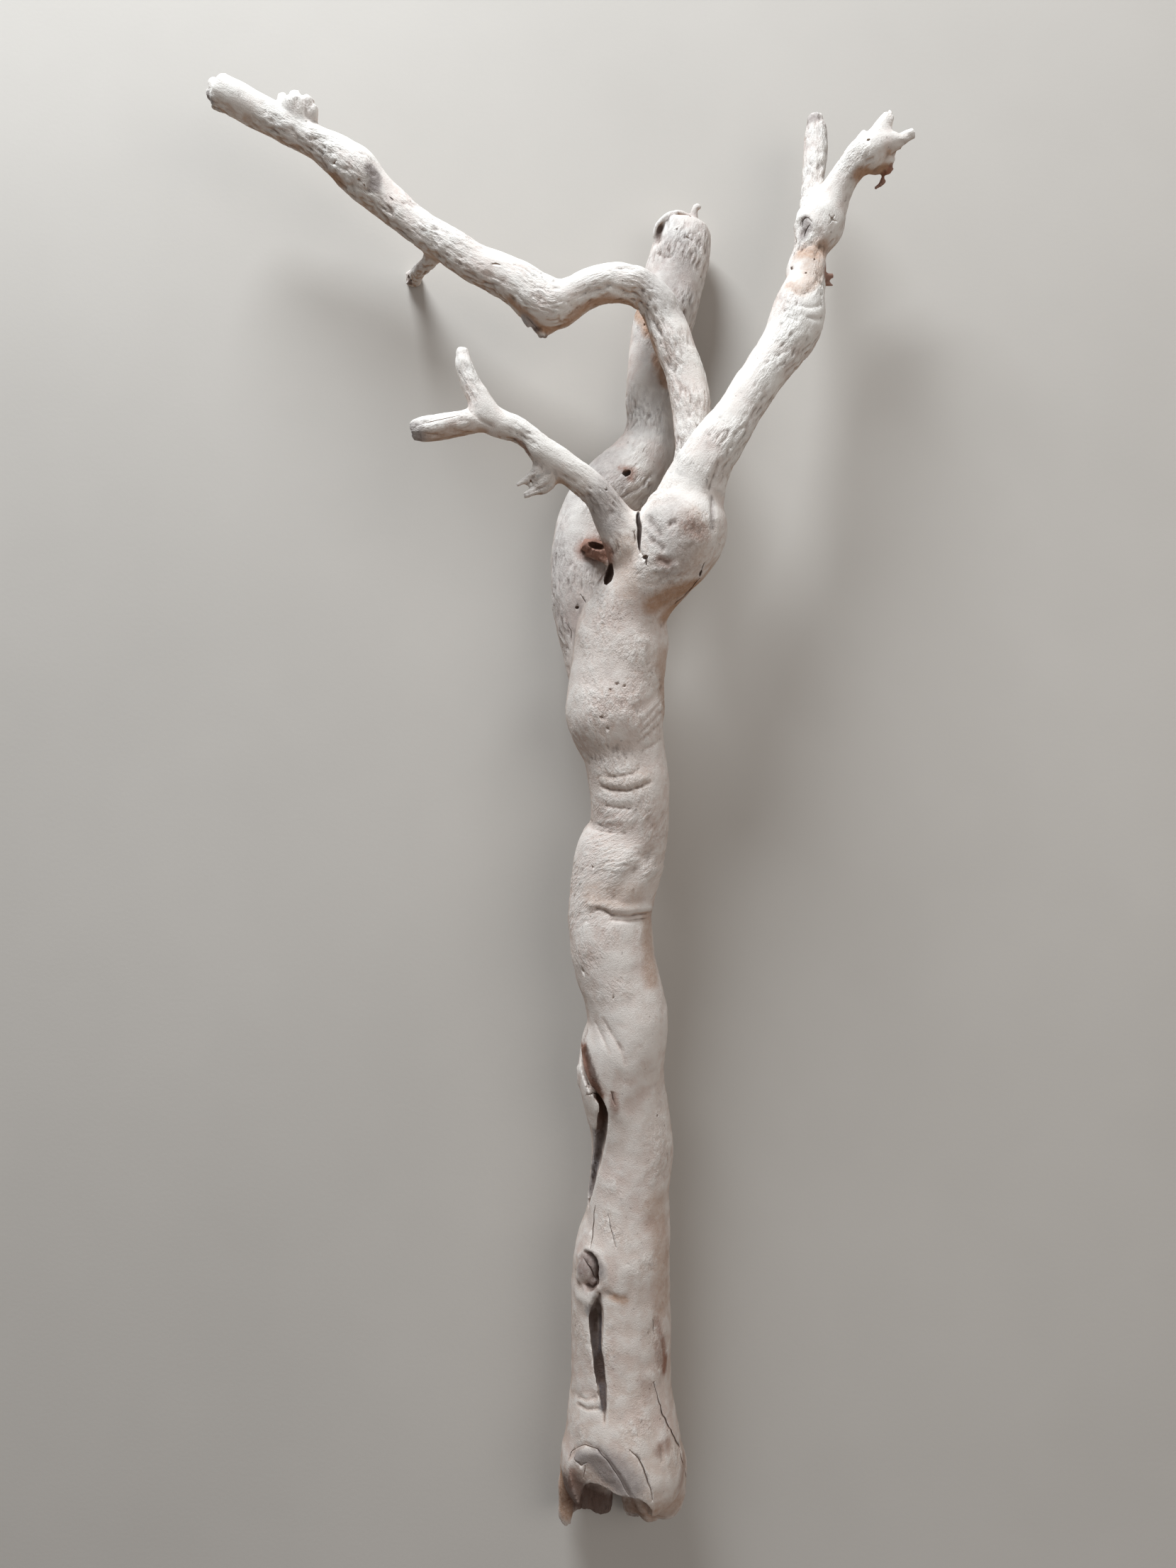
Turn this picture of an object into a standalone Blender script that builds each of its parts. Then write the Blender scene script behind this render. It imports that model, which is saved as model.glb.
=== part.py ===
"""A sandblasted grapevine branch that lies on its back on level ground.

Units are metres, with +Z up. The ground is z = 0, +Y runs from the sawn foot to the branch tips,
and the origin lies on the ground within 3 mm of the middle of the bounding box. The branch grew
as one piece, so it is one object: tubes along its limbs are fused, smoothed and carved.
"""

import bmesh
import bpy
import numpy as np
from mathutils import Vector, noise

MM = 0.001

# Limbs. A station is x, y, z of the pith and the radius of the wood there, in millimetres.
TRUNK = (
    (46, -429, 31, 14),
    (46, -427, 31, 24),
    (44, -420, 32, 31),
    (43, -411, 34, 37),
    (41, -400, 36, 39),
    (41, -385, 36, 36.5),
    (40, -367, 35, 33.5),
    (40, -345, 34, 31.5),
    (40, -313, 33, 31.5),
    (40, -286, 34, 31),
    (41, -267, 36, 30),
    (44, -249, 37, 27),
    (45, -231, 38, 25.5),
    (47, -199, 39, 25.5),
    (43, -176, 41, 26),
    (40, -158, 44, 26.5),
    (41, -140, 47, 26.5),
    (44, -122, 49, 25),
    (41, -104, 51, 24.5),
    (36, -86, 52, 25),
    (33, -66, 52, 25.5),
    (33, -50, 51, 25.5),
    (36, -33, 51, 27),
    (40, -16, 51, 27.5),
    (45, -3, 53, 24),
    (45, 11, 55, 24),
    (44, 29, 57, 25),
    (41, 46, 59, 25.5),
    (37, 63, 60, 29),
    (36, 74, 60, 30),
    (37, 91, 61, 29),
    (39, 108, 63, 28.5),
    (40, 120, 65, 27.5),
    (43, 132, 69, 24.5),
    (51, 144, 74, 23),
    (60, 155, 78, 24.5),
    (68, 166, 81, 26.5),
    (74, 179, 82, 27),
    (77, 194, 82, 22),
)
REAR_LIMB = (
    (29, 83, 54, 19.5),
    (22, 111, 45, 19),
    (17, 138, 38, 20),
    (16, 162, 33, 20.5),
    (19, 184, 30, 21.5),
    (27, 203, 28, 22.5),
    (43, 219, 27, 23.5),
    (55, 238, 26, 19),
    (59, 255, 25, 15),
    (58, 276, 24, 14.5),
    (60, 296, 23, 15),
    (64, 313, 22, 17.5),
    (69, 328, 21, 19),
    (73, 347, 19.5, 19.5),
    (77, 363, 18.3, 19.5),
    (80, 376, 16.8, 18),
    (82, 387, 15.3, 16),
)
REAR_HORN = ((84, 374, 24, 7), (88, 384, 28, 3.5), (90, 391, 30, 2), (90, 396, 31, 1.2))
RIGHT_LIMB = (
    (75, 183, 80, 21),
    (81, 201, 84, 18.5),
    (91, 220, 88, 15.5),
    (99, 232, 87, 14.5),
    (107, 244, 86, 13),
    (116, 259, 84, 12.5),
    (127, 275, 80, 13),
    (137, 289, 77, 14.5),
    (144, 303, 74, 16),
    (147, 317, 71, 15),
    (150, 326, 69, 12.5),
    (152, 340, 65, 11.5),
    (155, 352, 62, 10),
    (159, 364, 61, 14),
    (163, 376, 60, 13.5),
    (169, 386, 62, 10),
    (174, 394, 65, 8.5),
    (180, 401, 68, 8.5),
    (187, 406, 71, 10.5),
    (194, 409, 73, 9),
)
# The right limb ends in two prongs and a torn lobe, and a snapped twig stands out lower down.
RIGHT_PRONGS = (
    ((190, 408, 72, 8), (194, 416, 73, 6), (197, 423, 74, 3.5), (200, 428, 75, 1.5)),
    ((194, 410, 73, 7.5), (203, 412, 75, 4.5), (209, 415, 76, 3), (214, 418, 77, 2)),
    ((186, 403, 70, 6.5), (195, 400, 65, 6), (200, 395, 62, 3), (200, 390, 60, 1.2)),
    ((157, 335, 66, 4.5), (164, 333, 66, 2.5), (169, 334, 66, 1.5)),
)
RIGHT_FINGER = (
    (161, 372, 58, 9.5),
    (159, 386, 52, 7.5),
    (159, 401, 48, 6.5),
    (161, 418, 44, 6.5),
    (162, 433, 41, 6),
    (163, 444, 38, 5),
)
FRONT_LIMB = (
    (49, 126, 64, 14),
    (54, 140, 74, 17),
    (47, 157, 81, 14.5),
    (41, 172, 86, 14),
    (33, 183, 90, 11),
    (27, 192, 94, 9),
    (19, 200, 97, 8.5),
    (10, 206, 100, 8),
    (1, 212, 102, 8),
    (-7, 217, 104, 7.5),
    (-13, 223, 105, 6.5),
    (-20, 228, 106, 6.5),
    (-27, 231, 107, 7),
    (-34, 233, 108, 7.5),
    (-40, 236, 109, 7.5),
)
FRONT_UPPER_FINGER = (
    (-37, 235, 109, 7),
    (-41, 241, 110, 6.5),
    (-44, 248, 110, 5.5),
    (-47, 253, 110, 5),
    (-50, 260, 110, 4.5),
    (-52, 267, 110, 4.5),
    (-53, 275, 109, 4),
)
FRONT_LEFT_FINGER = (
    (-37, 235, 109, 6.5),
    (-45, 233, 110, 6),
    (-53, 231, 112, 6),
    (-61, 229, 114, 6.5),
    (-71, 227, 115, 6.5),
    (-78, 226, 116, 6),
)
FRONT_SPURS = (
    ((-3, 210, 102, 5.5), (-9, 205, 101, 5), (-16, 202, 100, 3.5), (-22, 200, 100, 2.5)),
    ((-2, 206, 101, 5.5), (-7, 200, 99, 4.5), (-13, 196, 98, 3.5), (-18, 193, 98, 2.5)),
)
LOOP_LIMB = (
    (81, 200, 70, 14.5),
    (85, 223, 64, 13),
    (83, 245, 62, 11.5),
    (81, 263, 61, 12),
    (78, 278, 60, 11.5),
    (74, 288, 60, 11),
    (70, 299, 60, 11.5),
    (66, 310, 60, 11.5),
    (61, 320, 62, 11),
    (52, 327, 64, 10.5),
    (42, 330, 66, 11),
    (32, 330, 66, 11),
    (20, 327, 66, 11),
    (10, 322, 64, 11.5),
    (0, 319, 62, 14.5),
    (-11, 323, 60, 14.5),
    (-22, 331, 60, 13),
    (-36, 339, 59, 12),
    (-51, 346, 58, 11),
    (-64, 355, 57, 10.5),
    (-86, 370, 55, 9.5),
    (-104, 385, 54, 10.5),
    (-114, 393, 55, 12),
    (-123, 402, 57, 13.5),
    (-131, 409, 58, 12.5),
    (-146, 418, 60, 10),
    (-160, 425, 62, 10),
    (-179, 434, 64, 9.5),
    (-195, 441, 68, 10),
    (-206, 446, 70, 9.5),
)
LOOP_STUBS = (
    ((-156, 427, 62, 8.5), (-159, 436, 65, 8), (-160, 443, 67, 7)),
    ((-8, 318, 59, 11.5), (-8, 310, 55, 8), (-8, 304, 53, 5)),
)
# The spur under the loop limb bends down to the ground and props the branch on its left.
PROP_SPUR = (
    (-74, 357, 52, 5.5),
    (-81, 355, 40, 4),
    (-88, 356, 27, 3.3),
    (-93, 358, 13, 3.8),
    (-96, 360, 3, 4.6),
    (-97, 361, -4, 4.6),
)
# The foot flares into two toes, which stand on either side of its hollow.
TOES = (
    ((17, -385, 36, 12), (9, -408, 33, 7.5), (5.5, -428, 28, 5), (5, -448, 24, 4)),
    ((14, -400, 20, 9), (9, -418, 17, 6.5), (6, -434, 15, 5), (5.5, -448, 14, 4)),
    ((55, -385, 33, 19), (61, -403, 32, 20), (64, -418, 30, 18), (67, -430, 25, 14), (67, -438, 21, 11.5)),
    ((16, -415, 10, 8), (17, -434, 8, 7), (17, -447, 8, 6.5)),
    ((28, -415, 10, 8), (28, -434, 8, 7), (28, -450, 8, 6.5)),
    ((44, -415, 10, 8), (48, -436, 8, 7), (50, -452, 8, 6.5)),
)
LIMBS = (
    TRUNK,
    REAR_LIMB,
    REAR_HORN,
    RIGHT_LIMB,
    RIGHT_FINGER,
    *RIGHT_PRONGS,
    FRONT_LIMB,
    FRONT_UPPER_FINGER,
    FRONT_LEFT_FINGER,
    *FRONT_SPURS,
    LOOP_LIMB,
    *LOOP_STUBS,
    PROP_SPUR,
    *TOES,
)

# Cracks that are cut out, each with its depth over its width: x, y, z and half width in millimetres.
CRACKS = {
    "left_crack": (
        2.4,
        (19, -125, 55, 0.8),
        (15, -140, 53, 1.6),
        (20, -158, 58, 2.2),
        (28, -169, 60, 2.8),
        (28, -180, 59, 3.4),
        (26, -199, 53, 2.8),
        (22, -222, 46, 2),
        (20, -239, 42, 1),
    ),
    "foot_crack": (
        2,
        (26, -284, 62, 1.2),
        (24, -297, 61, 4.6),
        (24, -314, 61, 4.2),
        (26, -332, 61, 3.5),
        (28, -345, 62, 2.4),
        (29, -363, 66, 0.7),
    ),
    "head_crack": (
        4,
        (49, 188, 90, 1.4),
        (49, 179, 97, 1.1),
        (49, 170, 99, 1.1),
        (50, 163, 100, 1.2),
        (52, 157, 100, 1.8),
    ),
}
# Hollows, as ellipsoids that are cut out: centre, half sizes and turn about Z in degrees.
HOLLOWS = {
    "knot_cup": ((21, -274, 60), (7, 10, 6), 0),
    "foot_slit": ((38.5, -446, 12), (2.4, 16, 16), 0),
    "rear_knot_hole": ((43.5, 219, 50), (2.8, 2.8, 7), 0),
    "broken_stub": ((22, 170, 52), (8, 3.5, 4), 0),
}

# The rotten hollow in the foot and the gap over it, as rounded blocks: centre, size and turn.
ROUNDED_BLOCKS = {
    "foot_hollow": ((30, -445, 32), (39, 124, 38), 0),
    "foot_gap": ((29, -455, 58), (43, 106, 88), -11),
}
BLOCK_ROUNDING = 6
BLOCK_ROUNDING_STEPS = 3
HOLLOW_SUBDIVISIONS = 2

# Lumps and dents that are pushed out of or into the skin: centre, reach and height in millimetres.
LUMPS = (
    ((22, 70, 72), 16, 3.0),
    ((45, 45, 84), 14, -1.6),
    ((35, -45, 78), 12, 1.5),
    ((84, 168, 92), 18, 2.0),
    ((-118, 398, 66), 12, 1.5),
    ((163, 372, 72), 8, 1.2),
)
# Creases across the limbs, pressed into the side that faces up: ends, half width and depth.
# They fade over this share of their length at each end, and over this height off their own.
CREASES = (
    ((24, 28, 82), (48, 31, 83), 3, 1.4),
    ((31, 20, 81), (58, 24, 80), 3, 1.8),
    ((26, 12, 80), (46, 11, 81), 3, 1.6),
    ((22, -1, 78), (44, 1, 80), 3, 2.2),
    ((22, -52, 70), (56, -54, 72), 3, 2.2),
    ((150, 346, 72), (166, 350, 72), 2.2, 1.4),
)
CREASE_END_FADE = 0.15
CREASE_HEIGHT_FADE = 22

# Saw cuts: a point on the plane, the way that the plane faces, and the width and length cut off.
SAW_CUTS = {
    "foot_scar": ((24, -391, 65), (-0.45, -0.2, 0.87), (46, 40)),
    "ground": ((0, 0, 0), (0, 0, -1), (1200, 1200)),
}
SAW_BLOCK_HEIGHT = 60

# A slow swell of the whole skin: its wavelength and height in millimetres.
SWELL = (34, 0.9)

# The skin: its grid in millimetres, its smoothing, and the triangles left before it is carved.
VOXEL = 2.0
SMOOTH_ROUNDS = 12
SMOOTH_FACTOR = 0.5
TRIANGLES = 9400
MERGE_DISTANCE = 0.00001
CURVE_STEPS = 4
LIMB_SECTION_POINTS = 16
CRACK_SECTION_POINTS = 8
WOOD_COLOUR = (0.52, 0.44, 0.38, 1)
WOOD_ROUGHNESS = 0.85


def clear_scene():
    for obj in list(bpy.data.objects):
        bpy.data.objects.remove(obj, do_unlink=True)


def new_collection(name):
    collection = bpy.data.collections.new(name)
    bpy.context.scene.collection.children.link(collection)
    return collection


def smoothing_spread():
    """Square millimetres by which the smoothing spreads the surface."""
    return SMOOTH_ROUNDS * SMOOTH_FACTOR * VOXEL**2 / 4


def grown(radius):
    """The radius that smoothing wears back down to the one asked for."""
    return (radius**2 + 2 * smoothing_spread()) ** 0.5


def oval_section(name, points, depth_ratio):
    """A closed outline one millimetre wide each way and deeper by the ratio given."""
    curve = bpy.data.curves.new(name, "CURVE")
    spline = curve.splines.new("POLY")
    spline.points.add(points - 1)
    for point, turn in zip(spline.points, np.arange(points) * 2 * np.pi / points):
        point.co = (MM * np.cos(turn), MM * depth_ratio * np.sin(turn), 0, 1)
    spline.use_cyclic_u = True
    return bpy.data.objects.new(name, curve)


def tube_mesh(name, stations, radius_of, section_points, depth_ratio=1):
    """A closed mesh along a smooth curve through the stations."""
    section = oval_section(name + "_section", section_points, depth_ratio)
    curve = bpy.data.curves.new(name, "CURVE")
    curve.dimensions = "3D"
    curve.resolution_u = CURVE_STEPS
    curve.twist_mode = "Z_UP"
    curve.bevel_mode = "OBJECT"
    curve.bevel_object = section
    curve.use_fill_caps = True
    spline = curve.splines.new("BEZIER")
    spline.radius_interpolation = "CARDINAL"
    spline.bezier_points.add(len(stations) - 1)
    for point, (x, y, z, radius) in zip(spline.bezier_points, stations):
        point.co = Vector((x, y, z)) * MM
        point.radius = radius_of(radius)
        point.handle_left_type = "AUTO"
        point.handle_right_type = "AUTO"
    holder = bpy.data.objects.new(name, curve)
    bpy.context.scene.collection.objects.link(holder)
    mesh = evaluated_mesh(holder)
    bpy.data.objects.remove(holder)
    bpy.data.objects.remove(section)
    shape = bmesh.new()
    shape.from_mesh(mesh)
    bmesh.ops.remove_doubles(shape, verts=shape.verts, dist=MERGE_DISTANCE)
    bmesh.ops.recalc_face_normals(shape, faces=shape.faces)
    shape.to_mesh(mesh)
    shape.free()
    return mesh


def evaluated_mesh(obj):
    bpy.context.view_layer.update()
    graph = bpy.context.evaluated_depsgraph_get()
    return bpy.data.meshes.new_from_object(obj.evaluated_get(graph))


def fused_limbs(collection):
    """All limbs as one smooth skin."""
    shape = bmesh.new()
    for number, stations in enumerate(LIMBS):
        shape.from_mesh(tube_mesh(f"limb_{number}", stations, grown, LIMB_SECTION_POINTS))
    mesh = bpy.data.meshes.new("grapevine_branch")
    shape.to_mesh(mesh)
    shape.free()
    branch = bpy.data.objects.new("grapevine_branch", mesh)
    collection.objects.link(branch)
    remesh = branch.modifiers.new("fuse", "REMESH")
    remesh.mode = "VOXEL"
    remesh.voxel_size = VOXEL * MM
    smooth = branch.modifiers.new("smooth", "SMOOTH")
    smooth.factor = SMOOTH_FACTOR
    smooth.iterations = SMOOTH_ROUNDS
    apply_modifiers(branch)
    return branch


def apply_modifiers(obj):
    mesh = evaluated_mesh(obj)
    obj.modifiers.clear()
    obj.data = mesh


def vertex_arrays(mesh):
    """Vertex places in millimetres, and vertex normals."""
    count = len(mesh.vertices)
    places = np.empty(count * 3)
    normals = np.empty(count * 3)
    mesh.vertices.foreach_get("co", places)
    mesh.vertices.foreach_get("normal", normals)
    return places.reshape(-1, 3) / MM, normals.reshape(-1, 3)


def swell_height(places):
    wavelength, rise = SWELL
    return np.array([rise * noise.noise(Vector(place) / wavelength) for place in places])


def lump_height(places):
    height = np.zeros(len(places))
    for centre, reach, rise in LUMPS:
        apart = np.linalg.norm(places - np.array(centre), axis=1)
        height += rise * np.exp(-((apart / reach) ** 2))
    return height


def crease_height(places, normals):
    height = np.zeros(len(places))
    for start, end, half_width, depth in CREASES:
        start = np.array(start, float)
        along = np.array(end, float) - start
        share = (places - start)[:, :2] @ along[:2] / (along[:2] @ along[:2])
        nearest = start + np.clip(share, 0, 1)[:, None] * along
        flat = np.linalg.norm((places - nearest)[:, :2], axis=1)
        fade = np.clip(1 - np.abs(places[:, 2] - nearest[:, 2]) / CREASE_HEIGHT_FADE, 0, 1)
        ends = np.clip((1 - np.abs(2 * share - 1)) / CREASE_END_FADE + 1, 0, 1)
        facing = np.clip(normals[:, 2] * 2, 0, 1)
        height -= depth * np.exp(-((flat / half_width) ** 2)) * fade * ends * facing
    return height


def press_skin(branch):
    """Pushes the lumps, dents and creases along the vertex normals."""
    places, normals = vertex_arrays(branch.data)
    height = swell_height(places) + lump_height(places) + crease_height(places, normals)
    moved = (places + normals * height[:, None]) * MM
    branch.data.vertices.foreach_set("co", moved.ravel())
    branch.data.update()


def thin_out(branch):
    """Collapses edges until the skin has about the wanted number of triangles."""
    decimate = branch.modifiers.new("thin_out", "DECIMATE")
    decimate.ratio = TRIANGLES / (2 * len(branch.data.polygons))
    decimate.use_collapse_triangulate = True
    apply_modifiers(branch)


def new_cutter(name, mesh, collection):
    cutter = bpy.data.objects.new(name, mesh)
    cutter.hide_render = True
    cutter.display_type = "WIRE"
    collection.objects.link(cutter)
    return cutter


def crack_cutter(name, depth_ratio, stations, collection):
    mesh = tube_mesh(name, stations, float, CRACK_SECTION_POINTS, depth_ratio)
    return new_cutter(name, mesh, collection)


def hollow_cutter(name, centre, halves, turn, collection):
    shape = bmesh.new()
    bmesh.ops.create_icosphere(shape, subdivisions=HOLLOW_SUBDIVISIONS, radius=1)
    mesh = bpy.data.meshes.new(name)
    shape.to_mesh(mesh)
    shape.free()
    cutter = new_cutter(name, mesh, collection)
    cutter.location = Vector(centre) * MM
    cutter.scale = Vector(halves) * MM
    cutter.rotation_euler.z = np.radians(turn)
    return cutter


def rounded_cutter(name, centre, size, turn, collection):
    shape = bmesh.new()
    bmesh.ops.create_cube(shape, size=MM)
    bmesh.ops.scale(shape, verts=shape.verts, vec=size)
    rounding = BLOCK_ROUNDING * MM
    bmesh.ops.bevel(
        shape,
        geom=shape.edges,
        offset=rounding,
        segments=BLOCK_ROUNDING_STEPS,
        profile=0.5,
        affect="EDGES",
    )
    mesh = bpy.data.meshes.new(name)
    shape.to_mesh(mesh)
    shape.free()
    cutter = new_cutter(name, mesh, collection)
    cutter.location = Vector(centre) * MM
    cutter.rotation_euler.z = np.radians(turn)
    return cutter


def saw_cutter(name, centre, facing, size, collection):
    """A block that stands on the saw's plane and takes away what is past it."""
    shape = bmesh.new()
    bmesh.ops.create_cube(shape, size=1)
    bmesh.ops.translate(shape, verts=shape.verts, vec=(0, 0, 0.5))
    bmesh.ops.scale(shape, verts=shape.verts, vec=Vector((*size, SAW_BLOCK_HEIGHT)) * MM)
    mesh = bpy.data.meshes.new(name)
    shape.to_mesh(mesh)
    shape.free()
    cutter = new_cutter(name, mesh, collection)
    cutter.location = Vector(centre) * MM
    cutter.rotation_euler = Vector(facing).to_track_quat("Z", "Y").to_euler()
    return cutter


def cut(branch, cutter):
    boolean = branch.modifiers.new(cutter.name, "BOOLEAN")
    boolean.operation = "DIFFERENCE"
    boolean.object = cutter


def carve(branch, collection):
    for name, (depth_ratio, *stations) in CRACKS.items():
        cut(branch, crack_cutter(name, depth_ratio, stations, collection))
    for name, (centre, halves, turn) in HOLLOWS.items():
        cut(branch, hollow_cutter(name, centre, halves, turn, collection))
    for name, (centre, size, turn) in ROUNDED_BLOCKS.items():
        cut(branch, rounded_cutter(name, centre, size, turn, collection))
    for name, (centre, facing, size) in SAW_CUTS.items():
        cut(branch, saw_cutter(name, centre, facing, size, collection))


def wood():
    material = bpy.data.materials.new("sandblasted_wood")
    material.use_nodes = True
    shader = material.node_tree.nodes["Principled BSDF"]
    shader.inputs["Base Color"].default_value = WOOD_COLOUR
    shader.inputs["Roughness"].default_value = WOOD_ROUGHNESS
    shader.inputs["Metallic"].default_value = 0
    return material


def main():
    clear_scene()
    parts = new_collection("grapevine_branch")
    cutters = new_collection("cutters")
    branch = fused_limbs(parts)
    press_skin(branch)
    thin_out(branch)
    carve(branch, cutters)
    branch.data.materials.append(wood())


main()
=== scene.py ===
import bmesh
import bpy
import numpy as np
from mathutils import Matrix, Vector, noise
from mathutils.bvhtree import BVHTree


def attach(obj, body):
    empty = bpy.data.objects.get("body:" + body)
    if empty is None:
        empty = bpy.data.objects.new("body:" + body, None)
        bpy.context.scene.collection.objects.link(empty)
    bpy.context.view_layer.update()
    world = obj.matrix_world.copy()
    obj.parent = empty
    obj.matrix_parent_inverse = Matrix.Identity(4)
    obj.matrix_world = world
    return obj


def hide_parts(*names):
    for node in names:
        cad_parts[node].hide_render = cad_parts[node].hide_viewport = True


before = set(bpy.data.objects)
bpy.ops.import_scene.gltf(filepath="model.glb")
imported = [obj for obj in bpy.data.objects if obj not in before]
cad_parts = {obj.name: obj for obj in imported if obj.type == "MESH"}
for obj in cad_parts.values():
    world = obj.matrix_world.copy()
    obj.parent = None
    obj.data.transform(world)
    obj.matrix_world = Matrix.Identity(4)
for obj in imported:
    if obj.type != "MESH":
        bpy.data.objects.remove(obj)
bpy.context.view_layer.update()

# The branch lies on its back on level ground. Lengths are millimetres unless a name says otherwise,
# +Y runs from the sawn foot to the tips of the arms, and +Z is up.
MM = 0.001

# The camera looks straight down from here, with +Y up in its picture.
CAMERA_PLACE = (19, 26, 780)
PICTURE_SIZE = (1659, 2212)
FOCAL_PIXELS = 1659
SENSOR = 36
# It sees nothing nearer than this, in metres.
NEAREST_SEEN = 0.01

# Limbs. A station is x, y, z of the pith and the radius of the wood there.
TRUNK = (
    (46, -429, 31, 14), (46, -427, 31, 24), (44, -420, 32, 31), (43, -411, 34, 37), (41, -400, 36, 39),
    (41, -385, 36, 36.5), (40, -367, 35, 33.5), (40, -345, 34, 31.5), (40, -313, 33, 31.5),
    (40, -286, 34, 31), (41, -267, 36, 30), (44, -249, 37, 27), (45, -231, 38, 25.5),
    (47, -199, 39, 25.5), (43, -176, 41, 26), (40, -158, 44, 26.5), (41, -140, 47, 26.5),
    (44, -122, 49, 25), (41, -104, 51, 24.5), (36, -86, 52, 25), (33, -66, 52, 25.5),
    (33, -50, 51, 25.5), (36, -33, 51, 27), (40, -16, 51, 27.5), (45, -3, 53, 24), (45, 11, 55, 24),
    (44, 29, 57, 25), (41, 46, 59, 25.5), (37, 63, 60, 29), (36, 74, 60, 30), (37, 91, 61, 29),
    (39, 108, 63, 28.5), (40, 120, 65, 27.5), (43, 132, 69, 24.5), (51, 144, 74, 23),
    (60, 155, 78, 24.5), (68, 166, 81, 26.5), (74, 179, 82, 27), (77, 194, 82, 22),
)
REAR_LIMB = (
    (29, 83, 54, 19.5), (22, 111, 45, 19), (17, 138, 38, 20), (16, 162, 33, 20.5), (19, 184, 30, 21.5),
    (27, 203, 28, 22.5), (43, 219, 27, 23.5), (55, 238, 26, 19), (59, 255, 25, 15), (58, 276, 24, 14.5),
    (60, 296, 23, 15), (64, 313, 22, 17.5), (69, 328, 21, 19), (73, 347, 19.5, 19.5),
    (77, 363, 18.3, 19.5), (80, 376, 16.8, 18), (82, 387, 15.3, 16),
)
REAR_HORN = ((83, 372, 22, 7), (86, 381, 24, 4), (87, 386, 25, 2.5))
RIGHT_LIMB = (
    (75, 183, 80, 21), (81, 201, 84, 18.5), (91, 220, 88, 15.5), (99, 232, 87, 14.5),
    (107, 244, 86, 13), (116, 259, 84, 12.5), (127, 275, 80, 13), (137, 289, 77, 14.5),
    (144, 303, 74, 16), (147, 317, 71, 15), (150, 326, 69, 12.5), (152, 340, 65, 11.5),
    (155, 352, 62, 10), (159, 364, 61, 14), (163, 376, 60, 13.5), (169, 386, 62, 10),
    (174, 394, 65, 8.5), (180, 401, 68, 8.5), (187, 406, 71, 10.5), (194, 409, 73, 9),
)
# The right limb ends in two prongs and a torn lobe, and a snapped twig stands out lower down.
RIGHT_PRONGS = (
    ((190, 408, 72, 8), (194, 416, 73, 6), (197, 423, 74, 3.5), (200, 428, 75, 1.5)),
    ((194, 410, 73, 7.5), (202, 411, 75, 4.5), (206, 412.5, 76, 3)),
    ((186, 404, 70, 6.5), (194, 402, 65.5, 5.5), (198, 400, 63, 3)),
    ((155, 335, 66, 4.5), (161, 333, 66, 2.5)),
)
RIGHT_FINGER = (
    (161, 372, 58, 9.5), (159, 386, 52, 7.5), (159, 401, 48, 6.5), (161, 418, 44, 6.5),
    (162, 433, 41, 6), (163, 444, 38, 5),
)
FRONT_LIMB = (
    (49, 126, 64, 14), (54, 140, 74, 17), (47, 157, 81, 14.5), (41, 172, 86, 14), (33, 183, 90, 11),
    (27, 192, 94, 9), (19, 200, 97, 8.5), (10, 206, 100, 8), (1, 212, 102, 8), (-7, 217, 104, 7.5),
    (-13, 223, 105, 6.5), (-20, 228, 106, 6.5), (-27, 231, 107, 7), (-34, 233, 108, 7.5),
    (-40, 236, 109, 7.5),
)
FRONT_UPPER_FINGER = (
    (-37, 235, 109, 7), (-41, 241, 110, 6.5), (-44, 248, 110, 5.5), (-47, 253, 110, 5),
    (-50, 260, 110, 4.5), (-52, 267, 110, 4.5), (-52.5, 271, 109, 4),
)
FRONT_LEFT_FINGER = (
    (-37, 235, 109, 6.5), (-45, 233, 110, 6), (-53, 231, 112, 6), (-61, 229, 114, 6.5),
    (-71, 227, 115, 6.5), (-78, 226, 116, 6),
)
FRONT_SPURS = (
    ((-3, 210, 102, 5.5), (-9, 206, 101, 4.5), (-13, 204, 100, 3)),
    ((-2, 206, 101, 5.5), (-7, 199, 99, 4.2), (-11, 197, 98, 3)),
)
LOOP_LIMB = (
    (81, 200, 70, 14.5), (85, 223, 64, 13), (83, 245, 62, 11.5), (81, 263, 61, 12), (78, 278, 60, 11.5),
    (74, 288, 60, 11), (70, 299, 60, 11.5), (66, 310, 60, 11.5), (61, 320, 62, 11), (52, 327, 64, 10.5),
    (42, 330, 66, 11), (32, 330, 66, 11), (20, 327, 66, 11), (10, 322, 64, 11.5), (0, 319, 62, 14.5),
    (-11, 323, 60, 14.5), (-22, 331, 60, 13), (-36, 339, 59, 12), (-51, 346, 58, 11),
    (-64, 355, 57, 10.5), (-86, 370, 55, 9.5), (-104, 385, 54, 10.5), (-114, 393, 55, 12),
    (-123, 402, 57, 13.5), (-131, 409, 58, 12.5), (-146, 418, 60, 10), (-160, 425, 62, 10),
    (-179, 434, 64, 9.5), (-195, 441, 68, 10), (-206, 446, 70, 9.5),
)
LOOP_STUBS = (
    ((-156, 427, 62, 8.5), (-159, 436, 65, 8), (-160, 443, 67, 7)),
    ((-8, 318, 59, 11.5), (-8, 310, 55, 8), (-8, 304, 53, 5)),
)
# The spur under the loop limb bends down to the ground and props the branch on its left.
PROP_SPUR = (
    (-74, 357, 52, 5.5), (-81, 355, 40, 4), (-88, 356, 27, 3.3), (-93, 358, 13, 3.8),
    (-96, 360, 3, 4.6), (-97, 361, -4, 4.6),
)
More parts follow.
